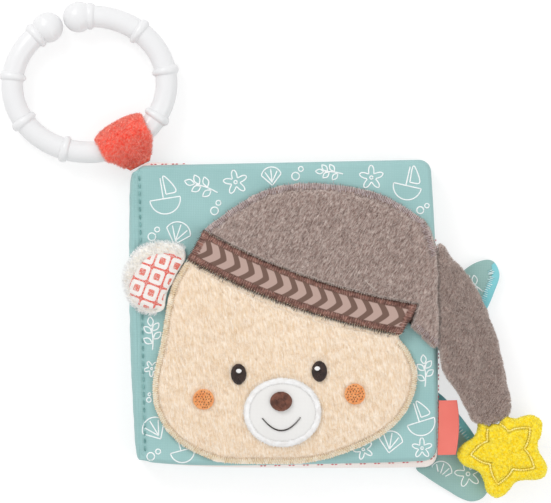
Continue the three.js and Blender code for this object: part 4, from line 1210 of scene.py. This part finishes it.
def embroidered(name, pad, material, node, pitch, radius, turn=0.0, length=3.2):
    """Rows of stitches at a pitch, each row cut to the outline and into lengths, over a thin ground.

    The turn of the rows is in degrees and a stitch's length in mm.
    """
    way, across = turned(math.radians(turn)).T
    rel = pad.outline - pad.centre
    sideways, forward = rel @ across, rel @ way
    reach = np.max(np.abs(sideways))
    starts, ends = [], []
    for row in np.arange(-reach + pitch / 2, reach, pitch):
        side = sideways - row
        after = np.roll(side, -1)
        hits = np.flatnonzero(side * after < 0)
        if len(hits) < 2:
            continue
        step = np.roll(forward, -1)[hits] - forward[hits]
        at = forward[hits] + step * side[hits] / (side[hits] - after[hits])
        low, high = at.min(), at.max()
        count = max(1, round((high - low) / length))
        cuts = np.linspace(low, high, count + 1)
        cuts[1:-1] += rng.uniform(-0.22, 0.22, count - 1) * length
        places = pad.centre + across * row + way * cuts[:, None]
        starts.append(places[:-1])
        ends.append(places[1:])
    stitches = sew(pad, np.vstack(starts), np.vstack(ends), 0.0, 0.2)
    finish_piece(threads(name + "_thread", stitches, radius), material, "front_cover")
    ground = ring_mesh(name + "_ground", pad.rings(96, 12, under=3))
    finish_piece(ground, material, "front_cover", [node])


SPECK_SPACING, SPECK_HALF, SPECK_HEADING = 1.3, 0.4, 0.9
SPECK_OUT_OF_PLACE, SPECK_OUT_OF_LINE = 0.16, 0.5


def add_specks(side, pad):
    """Short dark strokes in offset rows over a cheek, painted shade where its stitches part, each a little
    out of place and out of line.
    """
    steps = np.arange(-5, 6)
    u, v = np.meshgrid(steps, steps * 0.87)
    u = u + 0.5 * (steps % 2)[:, None]
    grid = np.stack([u.ravel(), v.ravel()], 1) * SPECK_SPACING
    middle = grid + rng.normal(0, SPECK_OUT_OF_PLACE, (u.size, 2)) + pad.centre
    middle = middle[pad.share(middle) < 0.84]
    turn = rng.normal(SPECK_HEADING, SPECK_OUT_OF_LINE, len(middle))
    arm = SPECK_HALF * np.stack([np.cos(turn), np.sin(turn)], 1)
    obj = threads("cheek_%s_specks" % side, sew(pad, middle - arm, middle + arm, 0.24, 0.12), 0.2)
    finish_piece(obj, CHEEK_GAP_SHADE, "front_cover")


def add_features():
    """The muzzle with its nose and mouth, then each side's eye, glint and cheek, all worked in stitches."""
    muzzle = oval_patch("muzzle_patch", FACE, 300, cloth_wrinkles(51, 0.05))
    skin = ring_mesh("muzzle_skin", muzzle.rings(300, 50, under=4))
    finish_piece(skin, MUZZLE, "front_cover", ["muzzle_patch"])
    obj = edge_stitches("muzzle_edge", muzzle, muzzle.outline, 2.6, -0.3, 0.46, 0.24, 52, 0.13, closed=True)
    finish_piece(obj, JERSEY_THREAD, "front_cover")
    embroidered("nose", oval_patch("nose", muzzle), NOSE_THREAD, "nose", 0.5, 0.3)
    for side in ("left", "right"):
        eye_node, glint_node, cheek_node = "eye_" + side, "eye_glint_" + side, "cheek_" + side
        eye = oval_patch(eye_node, FACE)
        embroidered(eye_node, eye, DARK_THREAD, eye_node, 0.45, 0.27)
        glint = oval_patch(glint_node, eye, 60)
        embroidered("glint_" + side, glint, WHITE_THREAD, glint_node, 0.35, 0.2)
        cheek = oval_patch(cheek_node, FACE)
        embroidered(cheek_node, cheek, ORANGE_THREAD, cheek_node, 0.5, 0.27,
                    turn=38, length=1.6)
        add_specks(side, cheek)
    add_mouth(muzzle)


def add_mouth(muzzle):
    """Satin-stitched smile: short slanting threads along a parabola."""
    low, high = box("mouth")
    middle, half = (low[0] + high[0]) / 2, (high[0] - low[0]) / 2 - 0.6
    s = np.linspace(-1, 1, 44)
    drop = high[1] - low[1] - 1.4
    line = np.stack([middle + half * s, high[1] - 0.7 - drop * (1 - s ** 2)], 1)
    a, b = offset_line(line, 0.3, False), offset_line(line, -0.3, False)
    obj = threads("mouth_satin", sew(muzzle, a, b, 0.1, 0.3), 0.22)
    finish_piece(obj, DARK_THREAD, "front_cover", ["mouth"])


def outside_band(p):
    """Pushes points of the crown up to the band's upper edge, and says which ones it moved."""
    way_up = np.array([-BAND_WAY[1], BAND_WAY[0]])
    arc = band_point(np.linspace(0, 1, 200), BAND_WIDTH / 2 + GAP) - BAND_LEFT
    place = p[..., :2] - BAND_LEFT
    limit = np.interp(place @ BAND_WAY, arc @ BAND_WAY, arc @ way_up, right=-1e3)
    short = np.maximum(0, limit - place @ way_up)
    p[..., :2] += short[..., None] * way_up
    return short > 0


CROWN_ROOT_HEIGHT = 3.5


def add_cap():
    """The crown with its pile, and stitches over its free edge above and below the band's right end."""
    p = CROWN.rings(620, 120, under=4, detail=fluff(61, 0.25, CROWN, 2.9))
    cut = outside_band(p)
    p[..., 2] = np.where(cut, np.minimum(p[..., 2], PAD_BOTTOM + CROWN_ROOT_HEIGHT), p[..., 2])
    bare = lambda foot: (inside_edge(CROWN, foot) < 2.5) & (foot[:, 0] < COVER_WIDTH / 2 - 4)
    obj = furry("cap_fur", p, 62, bare)
    finish_piece(obj, BROWN, "front_cover", ["cap_crown"])
    arc = catmull(of_cover(CROWN_EDGE_SHARES[4:]), False)
    low = catmull(of_cover(CROWN_EDGE_SHARES[:2]), False)
    for k, line in enumerate((arc, low)):
        for name, inner, pitch, radius, material in (("pale", 2.6, 0.72, 0.17, PALE_BROWN_THREAD),
                                                     ("dark", 2.3, 1.05, 0.15, BROWN_THREAD)):
            obj = edge_stitches("cap_%s_stitches_%d" % (name, k), CROWN, line, inner, -0.45, pitch, radius,
                                63 + k, 0.25, uneven=0.35)
            finish_piece(obj, material, "front_cover")


WEBBING_SIDE = 1.6
BESIDE_CROWN, BESIDE_FACE = 3.6, 2.4


class BandPad:
    """The band's height over its arc: sides, then a crown that falls off with the fourth power.

    Beyond its edges the surface steps up, so that border stitches stand over the plush beside it.
    """

    def on_top(self, along_across, above=0.0):
        """Places given along and across the band, set on its surface."""
        across = along_across[..., 1]
        xy = band_point(along_across[..., 0] / BAND_SPAN, across)
        k = np.clip(np.abs(across) / (BAND_WIDTH / 2), 0, 1.2)
        side = BAND_LOW[2] + WEBBING_SIDE
        z = side + (BAND_HIGH[2] - side) * swell(k, 4)
        z += np.where(across > 0, BESIDE_CROWN, BESIDE_FACE) * np.sqrt(np.clip((k - 1) / 0.12, 0, 1))
        return with_height(xy, z + above)


WEBBING = BandPad()


def add_webbing():
    """A strip over the arc, closed by a flat underside, with its uv in millimetres."""
    u, v = np.meshgrid(np.linspace(0, BAND_SPAN, 260), np.linspace(-1, 1, 40), indexing="ij")
    flat = np.stack([u, v * BAND_WIDTH / 2], -1)
    over = WEBBING.on_top(flat)
    under = over.copy()
    under[..., 2] = BAND_LOW[2]
    uv = sheet(flat, flat).reshape(-1, 2)
    uv = np.vstack([uv, uv[:1], uv[-1:]])
    obj = ring_mesh("band_webbing", sheet(over, under), uv)
    finish_piece(obj, BAND, "front_cover", ["cap_band"])


# Thread, reach past the edge, radius, lift, how much shorter inside, raggedness, one kept in so many.
BAND_BORDERS = (
    (RUSSET_THREAD, 0.3, 0.19, 0.05, 0, 0.3, 1), (ROSE_BROWN_THREAD, -0.3, 0.12, 0.3, 0, 0.35, 3),
    (BARK_THREAD, 0.9, 0.14, 0.2, 1.5, 0.6, 2), (CREAM_THREAD, 1.4, 0.13, 0.3, 2.3, 0.5, 3))
BORDER_PITCH = 0.36
BORDER_DEPTH = 3.0


def add_band_borders():
    """Four layers of stitches across the band's sides; all but the palest also cross its two ends."""
    half = BAND_WIDTH / 2
    local = np.random.default_rng(71)
    along = np.arange(0, BAND_SPAN, BORDER_PITCH)
    across = np.arange(-half, half, BORDER_PITCH)
    for layer, (material, reach, radius, lift, shorter, ragged, one_in) in enumerate(BAND_BORDERS):
        lines = []
        for side in (-1, 1):
            lean = local.normal(0.1, 0.3, len(along))
            inner = half - BORDER_DEPTH + local.normal(0, 0.2, len(along)) + shorter
            beyond = reach if side < 0 else min(reach, 0.2)
            rough = ragged if side < 0 else ragged / 2
            outer = half + beyond + local.normal(0, rough, len(along))
            a = np.stack([along + lean, side * inner], 1)
            b = np.stack([along - lean, side * outer], 1)
            lines.append(sew(WEBBING, a, b, lift, 0.1))
        for end, way in ((0, 1), (BAND_SPAN, -1)) if material is not CREAM_THREAD else ():
            inner = end + way * (BORDER_DEPTH - 0.1 + local.normal(0, 0.2, len(across)) - shorter)
            outer = end - way * (reach * 0.8 + local.normal(0, 0.2, len(across)))
            a = np.stack([inner, across + local.normal(0, 0.25, len(across))], 1)
            b = np.stack([outer, across], 1)
            lines.append(sew(WEBBING, a, b, lift, 0.1))
        obj = threads("band_border_%d" % layer, np.vstack(lines)[::one_in], radius)
        finish_piece(obj, material, "front_cover")


# Ear.
EAR = pad_of("ear_fur", catmull(of_cover(EAR_EDGE_SHARES), True), EAR_CENTRE_SHARE, 1.0)


EAR_CREASE = of_cover([EAR_EDGE_SHARES[0], EAR_EDGE_SHARES[3]])
CHECK_TURN = math.radians(-21)
CHECK_SHIFT = (1.2, 2.4)


def add_ear():
    """The ear's pile, bare at the crease beside the face, and the printed patch on it."""
    p = EAR.rings(420, 60, under=4, detail=fluff(81, 0.2))
    start, end = EAR_CREASE
    way = unit(end - start)
    bare = lambda foot: (foot[:, :2] - start) @ np.array([-way[1], way[0]]) < 2.0
    obj = furry("ear_pile", p, 82, bare)
    finish_piece(obj, FUR, "ear", ["ear_fur"])
    patch = patch_pad("ear_patch", catmull(of_cover(EAR_PATCH_SHARES), True), EAR.centre, EAR,
                      cloth_wrinkles(83, 0.05))
    points, faces = closed_rings(patch.rings(240, 40, under=3))
    uv = (points[:, :2] - EAR.centre) @ turned(CHECK_TURN) + CHECK_SHIFT
    finish_piece(make_mesh("ear_check", points, faces, uv), PATCH, "ear", ["ear_patch"])


# Stuffed pieces with two faces.
def two_faced(outline, centre, middle, half, edge):
    """A pad that swells alike above and below its middle surface, and its depth below that surface."""
    pad = Pad(outline, centre, 0.0, edge, half - edge, lift=middle)
    below = lambda xy, share: edge + (half - edge) * swell(share)
    return pad, below


TAIL_ROOT_HEIGHT, TAIL_FALL, TAIL_FALL_REACH = COVER_TOP + 2.3, 7.9, 26.0
TAIL_HALF, TAIL_EDGE = 3.5, 0.9


def tail_middle(xy):
    """The tail's middle surface: level at the crease, then a smooth fall to the tip."""
    k = np.clip((xy[..., 0] - FORE_EDGE) / TAIL_FALL_REACH, 0, 1)
    return TAIL_ROOT_HEIGHT - TAIL_FALL * k * k * (3 - 2 * k)


TAIL_TIP_RADIUS = 0.0695 * (COVER_WIDTH + COVER_HEIGHT) / 2
TAIL, TAIL_BELOW = two_faced(catmull(of_cover(TAIL_EDGE_SHARES), True), of_cover(TAIL_CENTRE_SHARE),
                             tail_middle, TAIL_HALF, TAIL_EDGE)


def add_tail():
    """The tail's pile, combed towards its tip."""
    p = TAIL.rings(480, 80, under=50, below=TAIL_BELOW, detail=fluff(91, 0.3))
    obj = furry("tail_fur", p, 92)
    # The tail wears the lighter copy of the grey-brown plush, as painted light.
    finish_piece(obj, TAIL_BROWN_LIT, "cap_tail", ["cap_tail_front", "cap_tail_back"])


# The star: how far its notches and points reach, as shares of the way from its middle to the tail's tip.
STAR_NOTCH_SHARE, STAR_POINT_SHARE = 0.6455, 0.932
STAR_HALF, STAR_EDGE = 4.0, 0.8
QUILT_POINT, QUILT_NOTCH = 15.2, 8.6
QUILT_DEPTH, QUILT_HALF_WIDTH, QUILT_STITCHES = 1.1, 1.3, 90


def star_outline():
    """The star's edge: a raised cosine between notch and point, cut back round the tail's tip."""
    centre, tip = of_cover(STAR_CENTRE_SHARE), of_cover(TAIL_TIP_SHARE)
    tip_radius = TAIL_TIP_RADIUS + GAP
    a = np.arange(600) * TAU / 600
    ray = np.stack([np.cos(a), np.sin(a)], 1)
    to_tip = tip - centre
    wave = 0.5 + 0.5 * np.cos(5 * (a - STAR_TURN))
    share = STAR_NOTCH_SHARE + (STAR_POINT_SHARE - STAR_NOTCH_SHARE) * wave ** 1.15
    radius = np.linalg.norm(to_tip) * share
    along = ray @ to_tip
    miss = to_tip @ to_tip - along ** 2
    hit = (along > 0) & (miss < tip_radius ** 2)
    tip_edge = along - np.sqrt(np.maximum(0, tip_radius ** 2 - miss))
    radius = np.where(hit, np.minimum(radius, tip_edge), radius)
    return centre + radius[:, None] * ray


STAR_MIDDLE = sum(box(n)[i][2] for n, i in (("star_front", 0), ("star_back", 1))) / 2
STAR, STAR_BELOW = two_faced(star_outline(), of_cover(STAR_CENTRE_SHARE),
                             lambda xy: np.full(xy.shape[:-1], STAR_MIDDLE), STAR_HALF, STAR_EDGE)


def quilt_star():
    """The sewn star inside the edge: its radius falls from point to notch with a power of the angle."""
    a = np.arange(300) * TAU / 300
    tooth = np.abs(((a - STAR_TURN) * 5 / TAU + 0.5) % 1 - 0.5) * 2
    radius = QUILT_POINT - (QUILT_POINT - QUILT_NOTCH) * tooth ** 0.8
    return of_cover(STAR_CENTRE_SHARE) + np.stack([radius * np.cos(a), radius * np.sin(a)], 1)


def add_star():
    """Terry with its loops, a groove along the sewn star and the stitches in the groove."""
    line = quilt_star()
    rel = line - STAR.centre
    angles = np.arctan2(rel[:, 1], rel[:, 0])
    order = np.argsort(angles)
    reach = np.linalg.norm(rel, axis=1)

    def detail(p):
        """The groove, a bell curve of the distance from the sewn line, and the loops' tufts."""
        flat = p[..., :2] - STAR.centre
        at = np.interp(np.arctan2(flat[..., 1], flat[..., 0]), angles[order], reach[order], period=TAU)
        away = (np.linalg.norm(flat, axis=-1) - at) * 0.8
        groove = -QUILT_DEPTH * np.exp(-(away / QUILT_HALF_WIDTH) ** 2)
        loops = waves(p, 1.5, 101, 30) * 0.1 + waves(p, 5, 102) * 0.15
        return (groove + loops)[..., None]

    p = STAR.rings(520, 80, under=50, below=STAR_BELOW, detail=detail)
    obj = furry("star_terry", p, 103)
    finish_piece(obj, YELLOW, "star", ["star_front", "star_back"])
    a = resample(line, QUILT_STITCHES)
    b = np.roll(a, -1, 0)
    keep = np.linalg.norm(a - of_cover(TAIL_TIP_SHARE), axis=1) > TAIL_TIP_RADIUS + 1.5
    a, b = a[keep], a[keep] + (b - a)[keep] * 0.85
    obj = threads("star_quilting", sew(STAR, a, b, -0.5, 0.3), 0.42)
    finish_piece(obj, YELLOW_THREAD, "star")


# Fins.
def outside_panel(p):
    """Pushes points of a fin out of the book's outline, away from the book's middle."""
    outline = bottom_sag(panel_outline(GAP, LEAF_DROP))
    guard = Pad(outline, (0, 0), 0, 0, 0)
    rel = p[..., :2]
    share = np.linalg.norm(rel, axis=-1) / guard.reach_at(rel)
    inside = share < 1
    p[..., :2] = np.where(inside[..., None], rel / np.maximum(share, 1e-6)[..., None], rel)
    return p


FIN_MIDDLE, FIN_HALF, FIN_EDGE = 2.75, 2.3, 0.7
BINDING_WIDTH, BINDING_RISE = 4.2, 0.22
BINDING_POINTS = 160
FIN_STITCH_OUTER, FIN_STITCH_INNER = 2.4, 4.7
UPPER_FIN_PRINT = (("sprig", 0.635, 0.075, 60, 11), ("pebbles", 0.6, -0.01, 0, 6))
LOWER_FIN_PRINT = (("shell", 0.525, -0.55, -20, 8), ("star", 0.615, -0.565, 10, 10),
                   ("pebbles", 0.645, -0.47, 0, 5))


def add_fin(prefix, shares, centre_share, border, print_rows, seed):
    """Cloth, an edging whose width is a flattened sine, stitches across its inner side and a print.

    Where the edging turns tightly the stitches' inner ends would crowd, so stitches are left out there.
    """
    corners = of_cover(shares)
    outline = resample(catmull(corners, True, 8), 600)
    middle = lambda xy: np.full(xy.shape[:-1], FIN_MIDDLE)
    pad, below = two_faced(outline, of_cover(centre_share), middle, FIN_HALF, FIN_EDGE)
    pad.grain = cloth_wrinkles(seed, 0.1)
    obj = ring_mesh(prefix + "_skin", outside_panel(pad.rings(420, 60, under=40, below=below)))
    # The fin's cloth takes the teal darkened as painted shade.
    finish_piece(obj, TEAL_FIN_SHADED, prefix, [prefix + "_cloth"])
    first, last = border
    part = resample(catmull(corners, True, 40)[first * 40:last * 40], BINDING_POINTS, False)
    rim = BINDING_WIDTH * np.sin(np.linspace(0.12, math.pi - 0.12, BINDING_POINTS)) ** 0.4
    v = np.linspace(0, 1, 14)[None, :, None]
    flat = part[:, None] + (offset_line(part, rim, False) - part)[:, None] * v
    over = pad.on_top(flat, BINDING_RISE)
    under = with_height(flat, 2 * FIN_MIDDLE - over[..., 2])
    obj = ring_mesh(prefix + "_binding", outside_panel(np.concatenate([over[:, ::-1], under], 1)))
    finish_piece(obj, EDGING, prefix, [prefix + "_edging"])
    even = resample(part, int(BINDING_POINTS * 0.24), False)[3:-3]
    local = np.random.default_rng(seed)
    a = offset_line(even, FIN_STITCH_INNER + local.normal(0, 0.3, len(even)), False)
    b = offset_line(even, FIN_STITCH_OUTER + local.normal(0, 0.4, len(even)), False)
    step = np.gradient(even, axis=0)
    lane = np.gradient(offset_line(even, FIN_STITCH_INNER, False), axis=0)
    apart = np.sum(step * lane, 1) > 0.35 * np.sum(step * step, 1)
    obj = threads(prefix + "_stitches", sew(pad, a[apart], b[apart], 0.3, 0.25), 0.25)
    finish_piece(obj, TURQUOISE_THREAD, prefix)
    lines = inside_only(motif_lines(print_rows), outline, FIN_STITCH_INNER + 0.1)
    obj = ribbons(prefix + "_print", lines, pad, FIN_PRINT_WIDTH)
    finish_piece(obj, PRINT, prefix)


# Ribbon tab, loop and ring.
TAB_LENGTH, TAB_FOLD, TAB_BOW, TAB_CURL, TAB_CREASES = 8.0, 0.9, 0.14, 0.5, 0.18


def add_tab():
    """A folded ribbon from the bulged fore-edge outwards: its end bows out and its face curls up."""
    low, high = box("ribbon_tab")
    u, v = np.meshgrid(np.linspace(0, 1, 30), np.linspace(-1, 1, 90), indexing="ij")
    y = (low[1] + high[1]) / 2 + v * (high[1] - low[1]) / 2
    root = FORE_EDGE - COVER_BULGE * (2 * y / COVER_HEIGHT) ** 2 + GAP + 0.1
    x = root + TAB_LENGTH * u * (1 + TAB_BOW * (1 - v ** 2))
    curl = TAB_CURL * np.sin(u * math.pi) + TAB_CREASES * waves(np.stack([x, y], -1), 9, 111)
    over = np.stack([x, y, high[2] + curl], -1)
    under = over - [0, 0, TAB_FOLD]
    obj = ring_mesh("tab_ribbon", sheet(over, under))
    finish_piece(obj, RIBBON, "ribbon_tab", ["ribbon_tab"])


# The loop heads out from the spine's top corner, and the ring runs through its bore.
LOOP_HEADING = math.radians(116.5)
LOOP_BORE, LOOP_CLOTH, LOOP_REACH = 6.2, 2.1, 12.6
LOOP_WIDTH, LOOP_FOOT, LOOP_LIFT = 20.0, 9.5, 0.2
RING_CROSSING = math.radians(-62.5)
RING_HALF_WIDTH, RING_HALF_HEIGHT, RING_LIFT = 34.1, 30.0, 0.15
RING_TUBE, RING_COLLAR, RING_BALL = 4.8, 6.0, 6.8
RING_FIRST, RING_LAST = math.radians(95.4), math.radians(120 - 360)
COLLAR_PLACES, COLLAR_IN_LOOP = 9, 4
COLLAR_FROM_START, COLLAR_FROM_END = math.radians(8.7), math.radians(10.6)
COLLAR_HALF, COLLAR_FOOT = 1.8, 0.4
LOOP_DOME, LOOP_WIDER_LEFT, LOOP_WIDER_RIGHT = 1.3, 2.2, 0.4
LOOP_ARC = math.radians(112)
UP = np.array([0, 0, 1.0])
ACROSS = np.array([math.cos(LOOP_HEADING), math.sin(LOOP_HEADING), 0.0])
TANGENT = np.array([ACROSS[1], -ACROSS[0], 0.0])
LOOP_ROOT = np.array([-COVER_WIDTH / 2 + CORNER, COVER_HEIGHT / 2 - CORNER, 0.0]) + ACROSS * (CORNER + GAP)
BORE_Z = LOOP_BORE + LOOP_CLOTH + LOOP_LIFT
BORE = LOOP_ROOT + ACROSS * LOOP_REACH + [0, 0, BORE_Z]


def add_loop():
    """A band of plush over a teardrop path: pinched at its seam, round where the ring runs."""
    seam_z = box("back_cover_lining")[1][2]
    turn = np.linspace(-LOOP_ARC, LOOP_ARC, 90)
    radius = LOOP_BORE + LOOP_CLOTH / 2
    arc = np.stack([LOOP_REACH + radius * np.cos(turn), BORE_Z + radius * np.sin(turn)], 1)
    lower_end = [[0.5, seam_z - 0.5], [3.0, seam_z - 1.9]]
    upper_end = [[3.0, seam_z + 2.0], [0.5, seam_z + 0.5]]
    path = resample(catmull(np.vstack([lower_end, arc[::9], upper_end]), False, 12), 170, False)
    way = unit(np.gradient(path, axis=0))
    out = np.stack([way[:, 1], -way[:, 0]], 1)
    a = -np.linspace(0, TAU, 110, endpoint=False)
    open_share = np.clip(path[:, 0] / (LOOP_REACH * 0.75), 0, 1)
    width = LOOP_FOOT + (LOOP_WIDTH - LOOP_FOOT) * open_share
    thick = np.minimum(LOOP_CLOTH, 0.5 + 0.4 * path[:, 0])
    sx = np.sign(np.cos(a)) * np.abs(np.cos(a)) ** 0.45
    sy = np.sign(np.sin(a)) * np.abs(np.sin(a)) ** 0.7
    wider = np.where(sx < 0, LOOP_WIDER_LEFT, LOOP_WIDER_RIGHT) * open_share[:, None] ** 2
    along = sx * (width[:, None] / 2 + wider)
    depth = sy[None] * thick[:, None] / 2
    z = path[:, None, 1] + out[:, None, 1] * depth
    domed = np.clip(path[:, None, 0] / LOOP_REACH, 0, 1) ** 2 * (1 - (along / LOOP_WIDTH * 2) ** 2)
    reach = path[:, None, 0] + out[:, None, 0] * depth + LOOP_DOME * domed
    p = LOOP_ROOT + ACROSS * reach[..., None] + TANGENT * along[..., None] + UP * z[..., None]
    p = p + grid_normals(p) * (waves(p, TUFT_SIZE, 121, 24) * 0.13)[..., None]
    bare = lambda foot: ((foot - LOOP_ROOT) @ ACROSS < 2.5) | (foot[:, 2] < 1.6)
    obj = furry("loop_plush", p, 122, bare)
    finish_piece(obj, CORAL, "hanging_loop", ["hanging_loop"])


def ring_line():
    """The ellipse's angle along the ring's tube, its points and how far along each lies."""
    s = np.linspace(0, 1, 1100)
    angle = RING_LAST + (RING_FIRST - RING_LAST) * s
    line = np.stack([RING_HALF_WIDTH * np.cos(angle), RING_HALF_HEIGHT * np.sin(angle), 0 * s], 1)
    return angle, line, run_of(line)


def ring_radius(angle, run):
    """The tube's radius: a quarter circle up and down at each collar, and a ball at each end."""
    first, last = RING_FIRST - COLLAR_FROM_START, RING_LAST + COLLAR_FROM_END
    sunk = RING_TUBE - COLLAR_FOOT
    radius = np.full(len(run), RING_TUBE)
    for place in range(COLLAR_PLACES):
        if place == COLLAR_IN_LOOP:
            continue
        at = np.interp(first + (last - first) * place / (COLLAR_PLACES - 1), angle, run)
        k = np.clip(np.abs(run - at) / COLLAR_HALF, 0, 1)
        radius = np.maximum(radius, sunk + (RING_COLLAR - sunk) * np.sqrt(1 - k ** 2))
    for end in (0, run[-1]):
        radius = np.maximum(radius, np.sqrt(np.maximum(0, RING_BALL ** 2 - (run - end) ** 2)))
    return radius


def hung_in_loop(p):
    """The ring turned so that it crosses the loop square, then tilted about the loop's eye to lie down."""
    cosine, sine = math.cos(RING_CROSSING), math.sin(RING_CROSSING)
    crossing = np.array([RING_HALF_WIDTH * cosine, RING_HALF_HEIGHT * sine, 0])
    inward = math.atan2(sine / RING_HALF_HEIGHT, cosine / RING_HALF_WIDTH) + math.pi
    spin = np.eye(3)
    spin[:2, :2] = turned(LOOP_HEADING - inward)
    both_halves = RING_HALF_WIDTH + RING_HALF_HEIGHT
    sway = (LOOP_WIDTH / 2) ** 2 / both_halves / 2
    p = (p - crossing) @ spin.T - ACROSS * sway
    tilt = -math.asin((BORE_Z - RING_BALL - RING_LIFT) / both_halves)
    cross = np.cross(TANGENT, p)
    axial = TANGENT * (p @ TANGENT)[..., None]
    return p * math.cos(tilt) + cross * math.sin(tilt) + axial * (1 - math.cos(tilt)) + BORE


def add_ring():
    """A tube along most of an ellipse; its radius swells at the collars and ends in balls."""
    angle, line, run = ring_line()
    radius = ring_radius(angle, run)
    tangent = unit(np.gradient(line, axis=0))
    cap = np.linspace(TAU / 4, 0.12, 16)
    head = [line[0] - tangent[0] * RING_BALL * math.cos(c) for c in cap[::-1]]
    tail = [line[-1] + tangent[-1] * RING_BALL * math.cos(c) for c in cap]
    centres = np.vstack([head, line, tail])
    sizes = np.concatenate([RING_BALL * np.sin(cap[::-1]), radius, RING_BALL * np.sin(cap)])
    ways = np.vstack([np.repeat(tangent[:1], len(cap), 0), tangent, np.repeat(tangent[-1:], len(cap), 0)])
    side = np.cross(ways, UP)
    a = np.arange(40) * TAU / 40
    ring = side[:, None] * np.cos(a)[None, :, None] + UP * np.sin(a)[None, :, None]
    p = hung_in_loop(centres[:, None] + ring * sizes[:, None, None])
    finish_piece(ring_mesh("ring_moulding", p), PLASTIC, "link_ring", ["link_ring"])


def dress_hidden():
    """Inner pieces that the skins cover keep their CAD meshes."""
    for node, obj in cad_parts.items():
        material = FOIL if "foil" in node or "squeaker" in node else WADDING
        obj.data.materials.clear()
        obj.data.materials.append(material)


# Stage, light and camera.
PIXEL = 0.44
PHOTO_PIXELS = 551
PHOTO_TURN = math.radians(1.2)
PHOTO_CENTRE = (-3.4, 26.2)
CAMERA_DISTANCE = 3.0
SENSOR_WIDTH = 36.0
WORLD_LIGHT = 0.74
FLOOR_HALF, FLOOR_Z = 3000, -0.3
LAMPS = (("key", (-0.55, 0.75, 0.8), 0.5, 4.8), ("fill", (0.7, -0.4, 0.9), 0.8, 3.0))


def add_stage():
    """A sheet of white paper, a little brighter in the picture than in its bounced light."""
    corners = [(-1, -1), (1, -1), (1, 1), (-1, 1)]
    floor = make_mesh("floor", [(x * FLOOR_HALF, y * FLOOR_HALF, FLOOR_Z) for x, y in corners], [[range(4)]])
    material, tree, shader, _ = start_material("white_paper", 0.9, 0.0, Specular_IOR_Level=0.0)
    shader.inputs["Emission Color"].default_value = (1, 1, 1, 1)
    path = tree.nodes.new("ShaderNodeLightPath")
    mix = add_node(tree, "ShaderNodeMix", {"data_type": "RGBA"},
                   {"Factor": path.outputs["Is Camera Ray"], "A": linear("#F2F2F2"), "B": linear("#A8A8A8")})
    tree.links.new(mix.outputs["Result"], shader.inputs["Base Color"])
    seen = add_node(tree, "ShaderNodeMath", {"operation": "MULTIPLY"},
                    {0: path.outputs["Is Camera Ray"], 1: 0.66})
    tree.links.new(seen.outputs[0], shader.inputs["Emission Strength"])
    floor.data.materials.append(material)


def add_lights():
    """An even white surround, a key lamp from the upper left and a fill lamp from the lower right."""
    world = bpy.data.worlds.new("studio")
    bpy.context.scene.world = world
    world.use_nodes = True
    tree = world.node_tree
    tree.nodes["Background"].inputs["Color"].default_value = (1, 1, 1, 1)
    path = tree.nodes.new("ShaderNodeLightPath")
    strength = add_node(tree, "ShaderNodeMath", {"operation": "MULTIPLY_ADD"},
                        {0: path.outputs["Is Camera Ray"], 1: 1 - WORLD_LIGHT, 2: WORLD_LIGHT})
    tree.links.new(strength.outputs[0], tree.nodes["Background"].inputs["Strength"])
    for name, place, size, power in LAMPS:
        lamp = bpy.data.lights.new(name, "AREA")
        lamp.size = size
        lamp.energy = power
        obj = bpy.data.objects.new(name, lamp)
        bpy.context.scene.collection.objects.link(obj)
        obj.location = place
        x, y, z = place
        obj.rotation_euler = (math.atan2(math.hypot(x, y), z), 0, math.atan2(-y, -x) - TAU / 4)


def add_camera():
    """Straight above the book, turned as the photograph is, so far away that it hardly foreshortens."""
    camera = bpy.data.cameras.new("camera")
    camera.sensor_width = SENSOR_WIDTH
    camera.lens = SENSOR_WIDTH * CAMERA_DISTANCE / (PHOTO_PIXELS * PIXEL * MM)
    camera.clip_end = 20.0
    obj = bpy.data.objects.new("camera", camera)
    bpy.context.scene.collection.objects.link(obj)
    x, y = PHOTO_CENTRE
    obj.location = (x * MM, y * MM, CAMERA_DISTANCE + COVER_TOP * MM)
    obj.rotation_euler = (0, 0, -PHOTO_TURN)
    bpy.context.scene.camera = obj
    bpy.context.scene.view_settings.view_transform = "Standard"


dress_hidden()
add_camera()
add_lights()
add_stage()
add_panels()
add_spine()
add_page_stitches()
add_spine_fold()
add_spine_stitches()
add_print()
add_page_designs()
add_face()
add_features()
add_cap()
add_webbing()
add_band_borders()
add_ear()
add_tail()
add_star()
add_fin("upper_fin", UPPER_FIN_SHARES, UPPER_FIN_CENTRE_SHARE, (2, 6), UPPER_FIN_PRINT, 131)
add_fin("lower_fin", LOWER_FIN_SHARES, LOWER_FIN_CENTRE_SHARE, (9, 14), LOWER_FIN_PRINT, 132)
add_tab()
add_loop()
add_ring()
